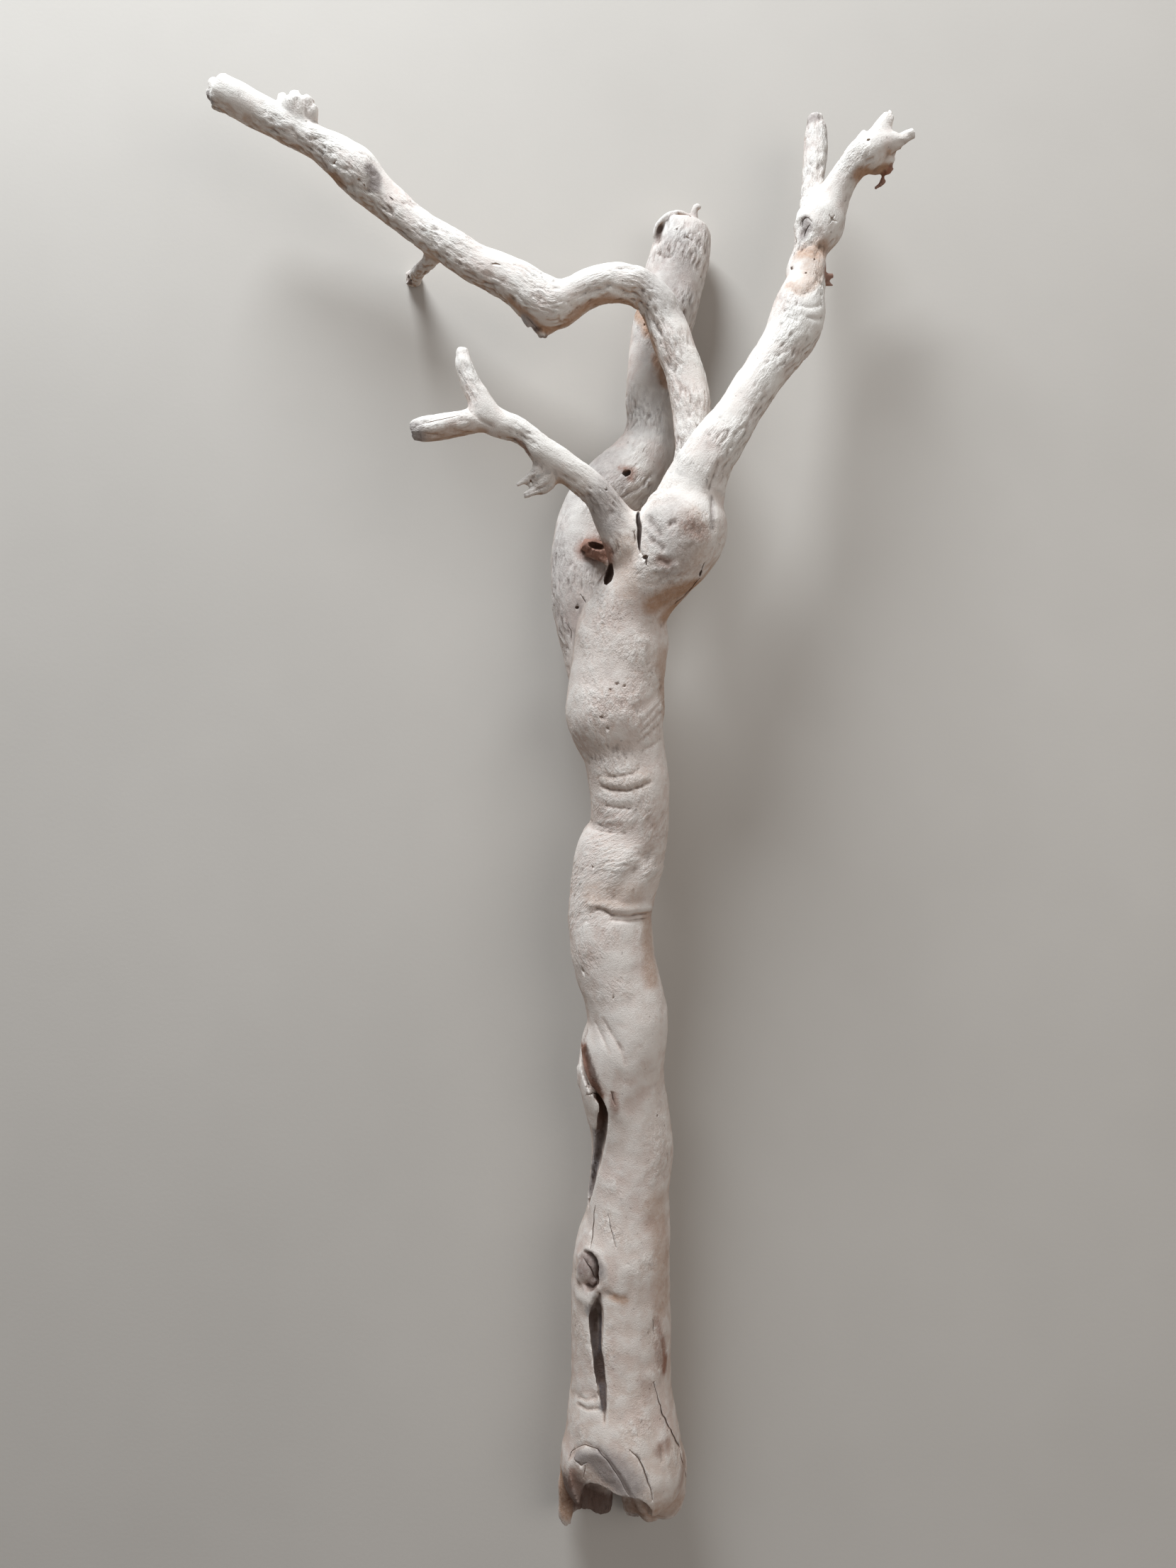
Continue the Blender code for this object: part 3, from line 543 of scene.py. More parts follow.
# The relief's grids across, up and along the grain, and its heights.
WARP_SIZE = 6
WARP_REACH = (1.2, -0.9, 1.8)
PIT_GRID = (1.9, 1.9, 5.5)
PIT_HEIGHT = 1.4
PIT_LIFT = 0.1
PIT_TOP = 0.2
STRAND_GRID = (3.4, 3.4, 18)
STRAND_HEIGHT = 0.4
BUMP_GRID = (2.3, 2.3, 3.4)
BUMP_HEIGHT = 0.5
KNOB_GRID = (4.6, 4.6, 7)
KNOB_HEIGHT = 0.35
# Dimples all over: size, height and seed. The fine ones are fainter where the skin is pitted.
FINE_DIMPLES = ((4.2, 0.2, 5), (2.4, 0.08, 6))
FAINTER_WHERE_PITTED = 0.6
BROAD_DIMPLES = (11, 0.6, 7)
# The relief is full from this height above the ground.
FULL_RELIEF_HEIGHT = 3
# Rounds of averaging that tell fine hollows and wide ones.
FINE_ROUNDS = 3
WIDE_ROUNDS = 30

# The skin: its grid in millimetres, its smoothing, its fine grid and the triangles that it keeps.
VOXEL = 1.25
SMOOTH_ROUNDS = 30
SMOOTH_FACTOR = 0.5
FINE_VOXEL = 0.85
FINE_SMOOTH_ROUNDS = 2
TRIANGLES = 172000
MERGE_DISTANCE = 0.00001
CURVE_STEPS = 6
LIMB_SECTION_POINTS = 24
THIN_SECTION_POINTS = 16
CRACK_SECTION_POINTS = 8
PITH_STEP = 2.0
CHUNK = 20000


def clear_default_objects():
    for name in ("Cube", "Light", "Camera"):
        if name in bpy.data.objects:
            bpy.data.objects.remove(bpy.data.objects[name], do_unlink=True)


def smoothing_spread():
    """Square millimetres by which the smoothing spreads the surface."""
    return SMOOTH_ROUNDS * SMOOTH_FACTOR * VOXEL**2 / 4


def grown(radius):
    """The radius that smoothing wears back down to the one asked for."""
    return (radius**2 + 2 * smoothing_spread()) ** 0.5


def oval_section(name, points, depth_ratio):
    """A closed outline one millimetre wide each way and deeper by the ratio given."""
    curve = bpy.data.curves.new(name, "CURVE")
    spline = curve.splines.new("POLY")
    spline.points.add(points - 1)
    for point, turn in zip(spline.points, np.arange(points) * 2 * np.pi / points):
        point.co = (MM * np.cos(turn), MM * depth_ratio * np.sin(turn), 0, 1)
    spline.use_cyclic_u = True
    return bpy.data.objects.new(name, curve)


def tube_mesh(name, stations, radius_of, section_points, depth_ratio=1):
    """A closed mesh along a smooth curve through the stations."""
    section = oval_section(name + "_section", section_points, depth_ratio)
    curve = bpy.data.curves.new(name, "CURVE")
    curve.dimensions = "3D"
    curve.resolution_u = CURVE_STEPS
    curve.twist_mode = "Z_UP"
    curve.bevel_mode = "OBJECT"
    curve.bevel_object = section
    curve.use_fill_caps = True
    spline = curve.splines.new("BEZIER")
    spline.radius_interpolation = "CARDINAL"
    spline.bezier_points.add(len(stations) - 1)
    for point, (x, y, z, radius) in zip(spline.bezier_points, stations):
        point.co = Vector((x, y, z)) * MM
        point.radius = radius_of(radius)
        point.handle_left_type = "AUTO"
        point.handle_right_type = "AUTO"
    holder = bpy.data.objects.new(name, curve)
    bpy.context.scene.collection.objects.link(holder)
    mesh = evaluated_mesh(holder)
    bpy.data.objects.remove(holder)
    bpy.data.objects.remove(section)
    shape = bmesh.new()
    shape.from_mesh(mesh)
    bmesh.ops.remove_doubles(shape, verts=shape.verts, dist=MERGE_DISTANCE)
    bmesh.ops.recalc_face_normals(shape, faces=shape.faces)
    shape.to_mesh(mesh)
    shape.free()
    return mesh


def evaluated_mesh(obj):
    bpy.context.view_layer.update()
    graph = bpy.context.evaluated_depsgraph_get()
    return bpy.data.meshes.new_from_object(obj.evaluated_get(graph))


def apply_modifiers(obj):
    mesh = evaluated_mesh(obj)
    obj.modifiers.clear()
    obj.data = mesh


def new_object(name, mesh):
    obj = bpy.data.objects.new(name, mesh)
    bpy.context.scene.collection.objects.link(obj)
    return obj


def shape_object(name, shape):
    """The shape as an object, which uses the shape up."""
    mesh = bpy.data.meshes.new(name)
    shape.to_mesh(mesh)
    shape.free()
    return new_object(name, mesh)


def remeshed(obj, voxel, rounds):
    """Gives the object an even skin of small squares, and smooths it."""
    remesh = obj.modifiers.new("remesh", "REMESH")
    remesh.mode = "VOXEL"
    remesh.voxel_size = voxel * MM
    smooth = obj.modifiers.new("smooth", "SMOOTH")
    smooth.factor = SMOOTH_FACTOR
    smooth.iterations = rounds
    apply_modifiers(obj)


def fused_limbs():
    """All limbs as one smooth skin."""
    shape = bmesh.new()
    for number, stations in enumerate(LIMBS):
        shape.from_mesh(tube_mesh(f"limb_{number}", stations, grown, LIMB_SECTION_POINTS))
    branch = shape_object("branch", shape)
    remeshed(branch, VOXEL, SMOOTH_ROUNDS)
    return branch


def add_thin_forms(branch):
    shape = bmesh.new()
    shape.from_mesh(branch.data)
    for name, stations in THIN_FORMS.items():
        shape.from_mesh(tube_mesh(name, stations, float, THIN_SECTION_POINTS))
    shape.to_mesh(branch.data)
    shape.free()


def hollow_cutter(name, centre, halves, turn, subdivisions):
    """An ellipsoid with an uneven skin."""
    shape = bmesh.new()
    bmesh.ops.create_icosphere(shape, subdivisions=subdivisions, radius=1)
    for vert in shape.verts:
        vert.co *= 1 + HOLE_ROUGHNESS * noise.noise(HOLE_WAVES * vert.co + Vector(centre))
    cutter = shape_object(name, shape)
    cutter.location = Vector(centre) * MM
    cutter.scale = Vector(halves) * MM
    cutter.rotation_euler.z = np.radians(turn)
    return cutter


def rounded_cutter(name, centre, size, turn):
    """A block with rounded edges and an uneven skin."""
    shape = bmesh.new()
    bmesh.ops.create_cube(shape, size=MM)
    bmesh.ops.scale(shape, verts=shape.verts, vec=size)
    bmesh.ops.bevel(
        shape,
        geom=shape.edges,
        offset=BLOCK_ROUNDING * MM,
        segments=BLOCK_ROUNDING_STEPS,
        profile=0.5,
        affect="EDGES",
    )
    bmesh.ops.subdivide_edges(shape, edges=shape.edges, cuts=BLOCK_CUTS, use_grid_fill=True)
    for vert in shape.verts:
        waver = noise.noise((vert.co / MM + Vector(centre)) / BLOCK_WAVE)
        vert.co += BLOCK_WAVER * MM * waver * vert.co.normalized()
    cutter = shape_object(name, shape)
    cutter.location = Vector(centre) * MM
    cutter.rotation_euler.z = np.radians(turn)
    return cutter


def saw_cutter(name, centre, facing, size):
    """A block that stands on the saw's plane and takes away what is past it."""
    shape = bmesh.new()
    bmesh.ops.create_cube(shape, size=1)
    bmesh.ops.translate(shape, verts=shape.verts, vec=(0, 0, 0.5))
    bmesh.ops.scale(shape, verts=shape.verts, vec=Vector((*size, SAW_BLOCK_HEIGHT)) * MM)
    cutter = shape_object(name, shape)
    cutter.location = Vector(centre) * MM
    cutter.rotation_euler = Vector(facing).to_track_quat("Z", "Y").to_euler()
    return cutter


def cut_all(branch, cutters):
    """Cuts every cutter out of the branch, and removes the cutters."""
    for cutter in cutters:
        boolean = branch.modifiers.new(cutter.name, "BOOLEAN")
        boolean.operation = "DIFFERENCE"
        boolean.solver = "MANIFOLD"
        boolean.object = cutter
    apply_modifiers(branch)
    for cutter in cutters:
        bpy.data.objects.remove(cutter)


def united(cutters):
    """All cutters as one, so that the branch is cut only once."""
    first, *others = cutters
    for cutter in others:
        boolean = first.modifiers.new(cutter.name, "BOOLEAN")
        boolean.operation = "UNION"
        boolean.solver = "MANIFOLD"
        boolean.object = cutter
    apply_modifiers(first)
    for cutter in others:
        bpy.data.objects.remove(cutter)
    return first


def wide_cutters():
    cutters = []
    for name, (depth_ratio, *stations) in CRACKS.items():
        mesh = tube_mesh(name, stations, float, CRACK_SECTION_POINTS, depth_ratio)
        cutters.append(new_object(name, mesh))
    for name, (centre, halves) in HOLLOWS.items():
        cutters.append(hollow_cutter(name, centre, halves, 0, HOLLOW_SUBDIVISIONS))
    for name, (centre, size, turn) in ROUNDED_BLOCKS.items():
        cutters.append(rounded_cutter(name, centre, size, turn))
    for name, (centre, facing, size) in SAW_CUTS.items():
        cutters.append(saw_cutter(name, centre, facing, size))
    return cutters


def vertex_arrays(mesh):
    """Vertex places in millimetres, and vertex normals."""
    count = len(mesh.vertices)
    places = np.empty(count * 3)
    normals = np.empty(count * 3)
    mesh.vertices.foreach_get("co", places)
    mesh.vertices.foreach_get("normal", normals)
    return places.reshape(-1, 3) / MM, normals.reshape(-1, 3)


def sighting_tree(obj):
    return BVHTree.FromPolygons(
        [vertex.co for vertex in obj.data.vertices],
        [polygon.vertices for polygon in obj.data.polygons],
    )


def seen_point(tree, u, v):
    """The place on the skin, in millimetres, that the camera sees at a pixel, or None."""
    across = (u - PICTURE_SIZE[0] / 2) / FOCAL_PIXELS
    down = (v - PICTURE_SIZE[1] / 2) / FOCAL_PIXELS
    hit = tree.ray_cast(Vector(CAMERA_PLACE) * MM, Vector((across, -down, -1)))[0]
    return None if hit is None else np.array(hit) / MM


def seen_line(tree, pixels, step):
    """Places on the skin along a line of pixels, a step of pixels apart."""
    places = []
    for (u0, v0), (u1, v1) in zip(pixels[:-1], pixels[1:]):
        parts = max(1, round(np.hypot(u1 - u0, v1 - v0) / step))
        for part in range(parts):
            share = part / parts
            places.append(seen_point(tree, u0 + (u1 - u0) * share, v0 + (v1 - v0) * share))
    places.append(seen_point(tree, *pixels[-1]))
    return np.array([place for place in places if place is not None])


def line_distance(places, points, reach):
    """How far each place is from a line through the points, where that is within the reach."""
    distance = np.full(len(places), np.inf)
    if len(points) < 2:
        return distance
    near = np.all((places > points.min(0) - reach) & (places < points.max(0) + reach), axis=1)
    spots = places[near]
    best = np.full(len(spots), np.inf)
    for start, end in zip(points[:-1], points[1:]):
        along = end - start
        share = np.clip((spots - start) @ along / (along @ along), 0, 1)
        best = np.minimum(best, np.linalg.norm(spots - start - share[:, None] * along, axis=1))
    distance[near] = best
    return distance


def pith_line(stations):
    """Close points along a limb's pith, the way it runs there, its length so far and its radius."""
    stations = np.array(stations, float)
    knots = stations[:, :3]
    lengths = np.concatenate([[0], np.cumsum(np.linalg.norm(np.diff(knots, axis=0), axis=1))])
    slopes = np.gradient(knots, lengths, axis=0)
    steps = np.append(np.arange(0, lengths[-1], PITH_STEP), lengths[-1])
    left = np.clip(np.searchsorted(lengths, steps, side="right") - 1, 0, len(lengths) - 2)
    span = lengths[left + 1] - lengths[left]
    t = ((steps - lengths[left]) / span)[:, None]
    span = span[:, None]
    points = (
        (2 * t**3 - 3 * t**2 + 1) * knots[left]
        + (t**3 - 2 * t**2 + t) * span * slopes[left]
        + (3 * t**2 - 2 * t**3) * knots[left + 1]
        + (t**3 - t**2) * span * slopes[left + 1]
    )
    ways = np.gradient(points, steps, axis=0)
    ways /= np.linalg.norm(ways, axis=1)[:, None]
    return points, ways, steps, np.interp(steps, lengths, stations[:, 3])


def grain_places(places):
    """Each place in its limb's own frame, and how clear it is that this is its limb.

    The frame's axes run across the limb, up from it, and along it from its first station.
    """
    best = np.full(len(places), np.inf)
    second = np.full(len(places), np.inf)
    grain = np.zeros((len(places), 3))
    for number, stations in enumerate(LIMBS):
        points, ways, steps, radii = pith_line(stations)
        reach = radii.max() + GRAIN_REACH
        near = np.flatnonzero(
            np.all((places > points.min(0) - reach) & (places < points.max(0) + reach), axis=1)
        )
        for first in range(0, len(near), CHUNK):
            rows = near[first:first + CHUNK]
            spots = places[rows]
            squares = (spots**2).sum(1)[:, None] - 2 * spots @ points.T + (points**2).sum(1)
            nearest = (np.sqrt(np.maximum(squares, 0)) - radii).argmin(1)
            offsets = spots - points[nearest]
            way = ways[nearest]
            forward = (offsets * way).sum(1)
            depth = np.linalg.norm(offsets, axis=1) - radii[nearest]
            across = np.cross(way, (0, 0, 1))
            across /= np.maximum(np.linalg.norm(across, axis=1), LEAST_ACROSS)[:, None]
            up = np.cross(across, way)
            local = np.stack(
                [
                    (offsets * across).sum(1),
                    (offsets * up).sum(1),
                    steps[nearest] + forward + LIMB_GRAIN_STEP * number,
                ],
                axis=1,
            )
            closer = depth < best[rows]
            second[rows] = np.where(closer, best[rows], np.minimum(second[rows], depth))
            best[rows] = np.where(closer, depth, best[rows])
            grain[rows[closer]] = local[closer]
    clear = np.clip((second - best) / GRAIN_CLEAR, 0, 1)
    return grain, clear


def noise_at(places, scale, seed=0):
    shift = Vector((seed, 3.7 * seed, -2.3 * seed))
    return np.array([noise.noise(Vector(place) + shift) for place in places / np.array(scale)])


def twisted(grain):
    """The grain's frame with the trunk's fibres turned about its pith, so that they run aslant."""
    lengths, turns = np.array(TRUNK_TWIST).T
    turn = np.where(grain[:, 2] < TRUNK_GRAIN_END, np.interp(grain[:, 2], lengths, turns), 0)
    across = grain[:, 0] * np.cos(turn) - grain[:, 1] * np.sin(turn)
    up = grain[:, 0] * np.sin(turn) + grain[:, 1] * np.cos(turn)
    return np.stack([across, up, grain[:, 2]], axis=1)


def pitted_share(places, normals, grain):
    """How pitted the skin is: little on the lower trunk, and more on the sides that look to the foot."""
    to_tips = normals[:, 1]
    up_trunk = np.interp(places[:, 1], PITTED_TRUNK, PITTED_TRUNK_SHARES)
    trunk = up_trunk - TRUNK_TIP_SIDE_LESS * to_tips
    arms = PITTED_ARMS - ARM_TIP_SIDE_LESS * to_tips
    share = np.where(grain[:, 2] < TRUNK_GRAIN_END, trunk, arms)
    share += PATCH_SHARE * noise_at(places, PATCH_SIZE, 8)
    return np.clip(share, LEAST_PITTED, 1)


def swell_height(places):
    wavelength, rise = SWELL
    return rise * noise_at(places, wavelength)


def lump_height(places):
    height = np.zeros(len(places))
    for centre, reach, rise in LUMPS:
        apart = np.linalg.norm(places - np.array(centre), axis=1)
        height += rise * np.exp(-((apart / reach) ** 2))
    return height


def relief_height(places, normals):
    """Short pits along the arms, crusty bumps on the trunk, and soft dimples all over."""
    grain, clear = grain_places(places)
    share = pitted_share(places, normals, grain) * clear
    warp = noise_at(places, WARP_SIZE, 2)
    warped = twisted(grain) + warp[:, None] * np.array(WARP_REACH)
    pits = np.minimum(noise_at(warped, PIT_GRID, 3) + PIT_LIFT, PIT_TOP)
    arms = PIT_HEIGHT * pits + STRAND_HEIGHT * noise_at(warped, STRAND_GRID, 4)
    bumps = noise_at(warped, BUMP_GRID, 9)
    trunk = BUMP_HEIGHT * bumps + KNOB_HEIGHT * noise_at(warped, KNOB_GRID, 10)
    height = share * np.where(grain[:, 2] < TRUNK_GRAIN_END, trunk, arms)
    dimples = [rise * noise_at(places, size, seed) for size, rise, seed in FINE_DIMPLES]
    height += (1 - FAINTER_WHERE_PITTED * share) * sum(dimples)
    size, rise, seed = BROAD_DIMPLES
    return height + rise * noise_at(places, size, seed)


def end_fade(places, points, half_width):
    """One along the middle of a line, and nought past its ends."""
    half_length = np.linalg.norm(points[-1] - points[0]) / 2
    off_middle = np.linalg.norm(places - points.mean(0), axis=1) / (half_length + half_width)
    return np.clip(CREASE_FADE - off_middle**4, 0, 1)


def crease_height(places, tree):
    """Creases, which fade out towards their ends."""
    height = np.zeros(len(places))
    wider, shallower = CREASE_VALLEY
    for half_width, depth, *pixels in CREASES:
        points = seen_line(tree, pixels, HAIRLINE_STEP)
        distance = line_distance(places, points, 3 * wider * half_width)
        line = np.exp(-((distance / half_width) ** 2))
        valley = shallower * np.exp(-((distance / (wider * half_width)) ** 2))
        height -= depth * end_fade(places, points, half_width) * (CREASE_LINE * line + valley)
    return height


def fold_height(places, tree):
    height = np.zeros(len(places))
    for half_width, rise, *pixels in FOLDS:
        points = seen_line(tree, pixels, HAIRLINE_STEP)
        distance = line_distance(places, points, 3 * half_width)
        height += rise * np.exp(-((distance / half_width) ** 2))
    return height


def press_skin(branch):
    """Pushes the relief, lumps, creases and folds along the vertex normals."""
    tree = sighting_tree(branch)
    places, normals = vertex_arrays(branch.data)
    height = swell_height(places) + lump_height(places) + relief_height(places, normals)
    height += crease_height(places, tree) + fold_height(places, tree)
    lifted = np.clip(places[:, 2] / FULL_RELIEF_HEIGHT, 0, 1)
    moved = (places + normals * (height * lifted)[:, None]) * MM
    branch.data.vertices.foreach_set("co", moved.ravel())
    branch.data.update()


def thin_out(branch):
    """Collapses edges until the skin has about the wanted number of triangles."""
    decimate = branch.modifiers.new("thin_out", "DECIMATE")
    decimate.ratio = TRIANGLES / (2 * len(branch.data.polygons))
    decimate.use_collapse_triangulate = True
    apply_modifiers(branch)


def hairline_cutters(tree):
    """Thin tubes along the cracks, which stray a little and narrow towards their ends."""
    cutters = []
    for name, (half_width, depth_ratio, *pixels) in HAIRLINES.items():
        places = seen_line(tree, pixels, HAIRLINE_STEP)
        stations = []
        for number, place in enumerate(places):
            sway = HAIRLINE_JITTER * noise.noise(Vector(place) / HAIRLINE_SWAY)
            from_end = min(number, len(places) - 1 - number)
            taper = min(1, HAIRLINE_TIP + HAIRLINE_TAPER * from_end / len(places))
            stations.append((place[0] + sway, place[1], place[2], half_width * taper))
        mesh = tube_mesh(name, stations, float, CRACK_SECTION_POINTS, depth_ratio)
        cutters.append(new_object(name, mesh))
    return cutters


def hole_cutters(tree):
    cutters = []
    for name, (u, v, half_width, half_length, turn, depth) in HOLES.items():
        centre = seen_point(tree, u, v)
        if centre is not None:
            halves = (half_width, half_length, depth)
            cutters.append(hollow_cutter(name, centre, halves, turn, HOLE_SUBDIVISIONS))
    return cutters


def cut_fine(branch):
    tree = sighting_tree(branch)
    cut_all(branch, [united(hairline_cutters(tree) + hole_cutters(tree))])


def edge_pairs(mesh):
    pairs = np.empty(len(mesh.edges) * 2, dtype=np.int64)
    mesh.edges.foreach_get("vertices", pairs)
    return pairs.reshape(-1, 2)


def hollowness(places, normals, pairs, rounds):
    """How far the skin lies under the mean of its neighbourhood, in millimetres."""
    count = len(places)
    ends = np.concatenate([pairs[:, 0], pairs[:, 1]])
    others = np.concatenate([pairs[:, 1], pairs[:, 0]])
    share = 1 / np.maximum(np.bincount(ends, minlength=count), 1)
    mean = places.copy()
    for _ in range(rounds):
        sums = [np.bincount(ends, weights=mean[others, axis], minlength=count) for axis in range(3)]
        mean = np.stack(sums, axis=1) * share[:, None]
    return ((mean - places) * normals).sum(1)


def set_numbers(mesh, name, values):
    attribute = mesh.attributes.new(name, "FLOAT", "POINT")
    attribute.data.foreach_set("value", values.astype(np.float32))


def set_vectors(mesh, name, values):
    attribute = mesh.attributes.new(name, "FLOAT_VECTOR", "POINT")
    attribute.data.foreach_set("vector", values.astype(np.float32).ravel())


def stain_and_shade_shares(places, tree, stains_and_shade):
    """How much stain and painted shade each place gets, from nought to one."""
    shares = np.zeros(len(places))
    for share, reach, *pixels in stains_and_shade:
        points = seen_line(tree, pixels, HAIRLINE_STEP)
        distance = line_distance(places, points, reach * STAIN_AND_SHADE_SPREAD)
        shares = np.maximum(shares, share * np.clip(STAIN_AND_SHADE_SPREAD - distance / reach, 0, 1))
    return shares


def mark_skin(branch):
    """Writes what the material reads: the grain's frame, how rough and hollow the skin is, and each stain and
    painted shade.
    """
    mesh = branch.data
    tree = sighting_tree(branch)
    places, normals = vertex_arrays(mesh)
    grain, clear = grain_places(places)
    pairs = edge_pairs(mesh)
    share = pitted_share(places, normals, grain) * clear
    on_trunk = grain[:, 2] < TRUNK_GRAIN_END
    set_vectors(mesh, "grain", twisted(grain))
    set_numbers(mesh, "pitted", np.where(on_trunk, 0, share))
    set_numbers(mesh, "crusty", np.where(on_trunk, share, 0))
    # How hollow the skin lies, which the material turns into painted shade in hollows and painted highlight
    # on ridges.
    set_numbers(mesh, "fine_hollow", hollowness(places, normals, pairs, FINE_ROUNDS))
    set_numbers(mesh, "wide_hollow", hollowness(places, normals, pairs, WIDE_ROUNDS))
    for kind, stains_and_shade in STAINS_AND_PAINTED_SHADE.items():
        set_numbers(mesh, kind + "_patch", stain_and_shade_shares(places, tree, stains_and_shade))


class Graph:
    """Adds nodes to a material and joins them."""

    def __init__(self, material):
        material.use_nodes = True
        self.tree = material.node_tree
        self.shader = self.tree.nodes["Principled BSDF"]

    def node(self, kind, **settings):
        node = self.tree.nodes.new(kind)
        for name, value in settings.items():
            setattr(node, name, value)
        return node

    def feed(self, socket, value):
        if isinstance(value, bpy.types.NodeSocket):
            self.tree.links.new(value, socket)
        else:
            socket.default_value = value

    def read(self, name, output="Fac"):
        return self.node("ShaderNodeAttribute", attribute_name=name).outputs[output]

    def stretch(self, vector, scale):
        mapping = self.node("ShaderNodeMapping")
        self.feed(mapping.inputs["Vector"], vector)
        mapping.inputs["Scale"].default_value = scale
        return mapping.outputs["Vector"]

    def noise(self, vector, scale, detail=2.0, roughness=0.5):
        node = self.node("ShaderNodeTexNoise")
        self.feed(node.inputs["Vector"], vector)
        node.inputs["Scale"].default_value = scale
        node.inputs["Detail"].default_value = detail
        node.inputs["Roughness"].default_value = roughness
        return node.outputs["Fac"]

    def spread(self, value, low, high, to_low=0.0, to_high=1.0):
        node = self.node("ShaderNodeMapRange")
        self.feed(node.inputs["Value"], value)
        node.inputs["From Min"].default_value = low
        node.inputs["From Max"].default_value = high
        node.inputs["To Min"].default_value = to_low
        node.inputs["To Max"].default_value = to_high
        return node.outputs["Result"]

    def math(self, operation, one, two):
        node = self.node("ShaderNodeMath", operation=operation)
        self.feed(node.inputs[0], one)
        self.feed(node.inputs[1], two)
        return node.outputs["Value"]

    def mix(self, share, one, two):
        node = self.node("ShaderNodeMix", data_type="RGBA")
        self.feed(node.inputs["Factor"], share)
        self.feed(node.inputs["A"], one)
        self.feed(node.inputs["B"], two)
        return node.outputs["Result"]

    def split(self, vector):
        node = self.node("ShaderNodeSeparateXYZ")
        self.feed(node.inputs["Vector"], vector)
        return node.outputs

    def bump(self, height, strength, distance):
        node = self.node("ShaderNodeBump")
        node.inputs["Strength"].default_value = strength
        node.inputs["Distance"].default_value = distance
        self.feed(node.inputs["Height"], height)
        self.feed(self.shader.inputs["Normal"], node.outputs["Normal"])


def colour(red, green, blue):
    """A colour from display values of 0 to 255."""
    shares = np.array([red, green, blue]) / 255
    linear = np.where(shares <= 0.04045, shares / 12.92, ((shares + 0.055) / 1.055) ** 2.4)
    return (*linear, 1)


ARM_WHITE = colour(238, 236, 232)
TRUNK_CREAM = colour(226, 217, 211)
FOOT_BEIGE = colour(212, 197, 187)
PINK = colour(212, 192, 184)
SHADE_GREY = colour(170, 165, 164)
# Tan, partly dirt and partly painted shade and warm bounce light on sides away from the key light.
TAN_DIRT_AND_SHADE = colour(182, 146, 118)
# Deep brown, for dark flecks and for the painted shade in hollows.
DEEP_BROWN = colour(92, 74, 64)
# Tones of each stain and of the painted shade.
STAIN_AND_SHADE_TONES = {
    "tan": colour(174, 134, 104),
    "grey": colour(150, 142, 140),
    "rust": colour(138, 90, 68),
    "painted_crack_shade": colour(78, 78, 86),
    "dark": colour(88, 62, 50),
}
# The edge of each stain and painted shade strays by this share, it starts and is full at these shares, and it
# covers this much.
STAIN_AND_SHADE_RAGGED = 0.16
STAIN_AND_SHADE_EDGE = (0.12, 0.8)
STAIN_AND_SHADE_COVER = 0.85

# Noises laid out by place, with their scale per millimetre, detail and roughness.
PLACE_NOISES = {
    "broad": (0.035, 4, 0.6),
    "blotch": (0.13, 4, 0.65),
    "ragged": (0.45, 4, 0.65),
    "speckle": (1.3, 3, 0.6),
    "specks": (0.42, 1, 0.5),
}
# Noises laid out by the grain's frame, with their scales in it, detail and roughness.
GRAIN_NOISES = {
    "cells": ((0.8, 0.8, 0.27), 3, 0.6),
    "crust": ((0.6, 0.6, 0.42), 3, 0.62),
    "fibres": ((1.6, 1.6, 0.16), 2, 0.5),
}
# Arms that lie behind others start between these metres up the branch; their low parts get painted shade.
BEHIND = (0.09, 0.13)
# How much facing up counts beside facing the tips.
UP_SHARE = 0.5
# Tints, first to last: what a tint follows, where it starts and is full, its cover, weight and colour.
TINTS = (
    ("along", 0.24, 0.12, 1, None, TRUNK_CREAM),
    ("along", -0.1, -0.42, 1, None, FOOT_BEIGE),
    # Painted shade: the low parts of the arms behind others turn grey.
    ("height", 0.058, 0.04, 0.55, "behind", SHADE_GREY),
    ("broad", 0.45, 0.7, 0.6, None, PINK),
    ("blotch", 0.55, 0.8, 0.35, None, SHADE_GREY),
    # Painted shade: sides turned away from the key light turn tan, partly dirt and partly shade.
    ("lit_side", 0.35, -0.35, 0.3, None, TAN_DIRT_AND_SHADE),
    ("lit_side", -0.3, -0.7, 0.75, None, TAN_DIRT_AND_SHADE),
    # Painted shade: sides that face down turn tan.
    ("facing_up", 0.4, -0.1, 0.3, None, TAN_DIRT_AND_SHADE),
    # Painted shade and highlight that follow the fine relief: its pits turn grey, the crust's low spots tan
    # and the crust's tops white.
    ("cells", 0.44, 0.3, 0.5, "pitted", SHADE_GREY),
    ("crust", 0.44, 0.3, 0.4, "crusty", TAN_DIRT_AND_SHADE),
    ("crust", 0.56, 0.7, 0.4, "crusty", ARM_WHITE),
    ("specks", 0.72, 0.76, 0.4, None, DEEP_BROWN),
    # Painted highlight: raised ridges turn white.
    ("fine_hollow", -0.04, -0.3, 0.45, None, ARM_WHITE),
)
# Painted shade that darkens fine and wide hollows, laid over every stain and the other painted shade.
PAINTED_HOLLOW_SHADE = (
    ("fine_hollow", 0.1, 0.6, 0.65, None, DEEP_BROWN),
    ("wide_hollow", 0.6, 3.2, 0.6, None, DEEP_BROWN),
)
# The finest relief adds up these marks: the mark, its share and the mark that it is weighed by.
FINE_RELIEF = (
    ("cells", 1, "pitted"),
    ("crust", 0.8, "crusty"),
    ("fibres", 0.06, None),
    ("speckle", 0.2, None),
)
FINE_RELIEF_HEIGHT = 1.5
WOOD_ROUGHNESS = (0.76, 0.94)
WOOD_ROUGHNESS_EDGE = (0.3, 0.7)
WOOD_SPECULAR = 0.22

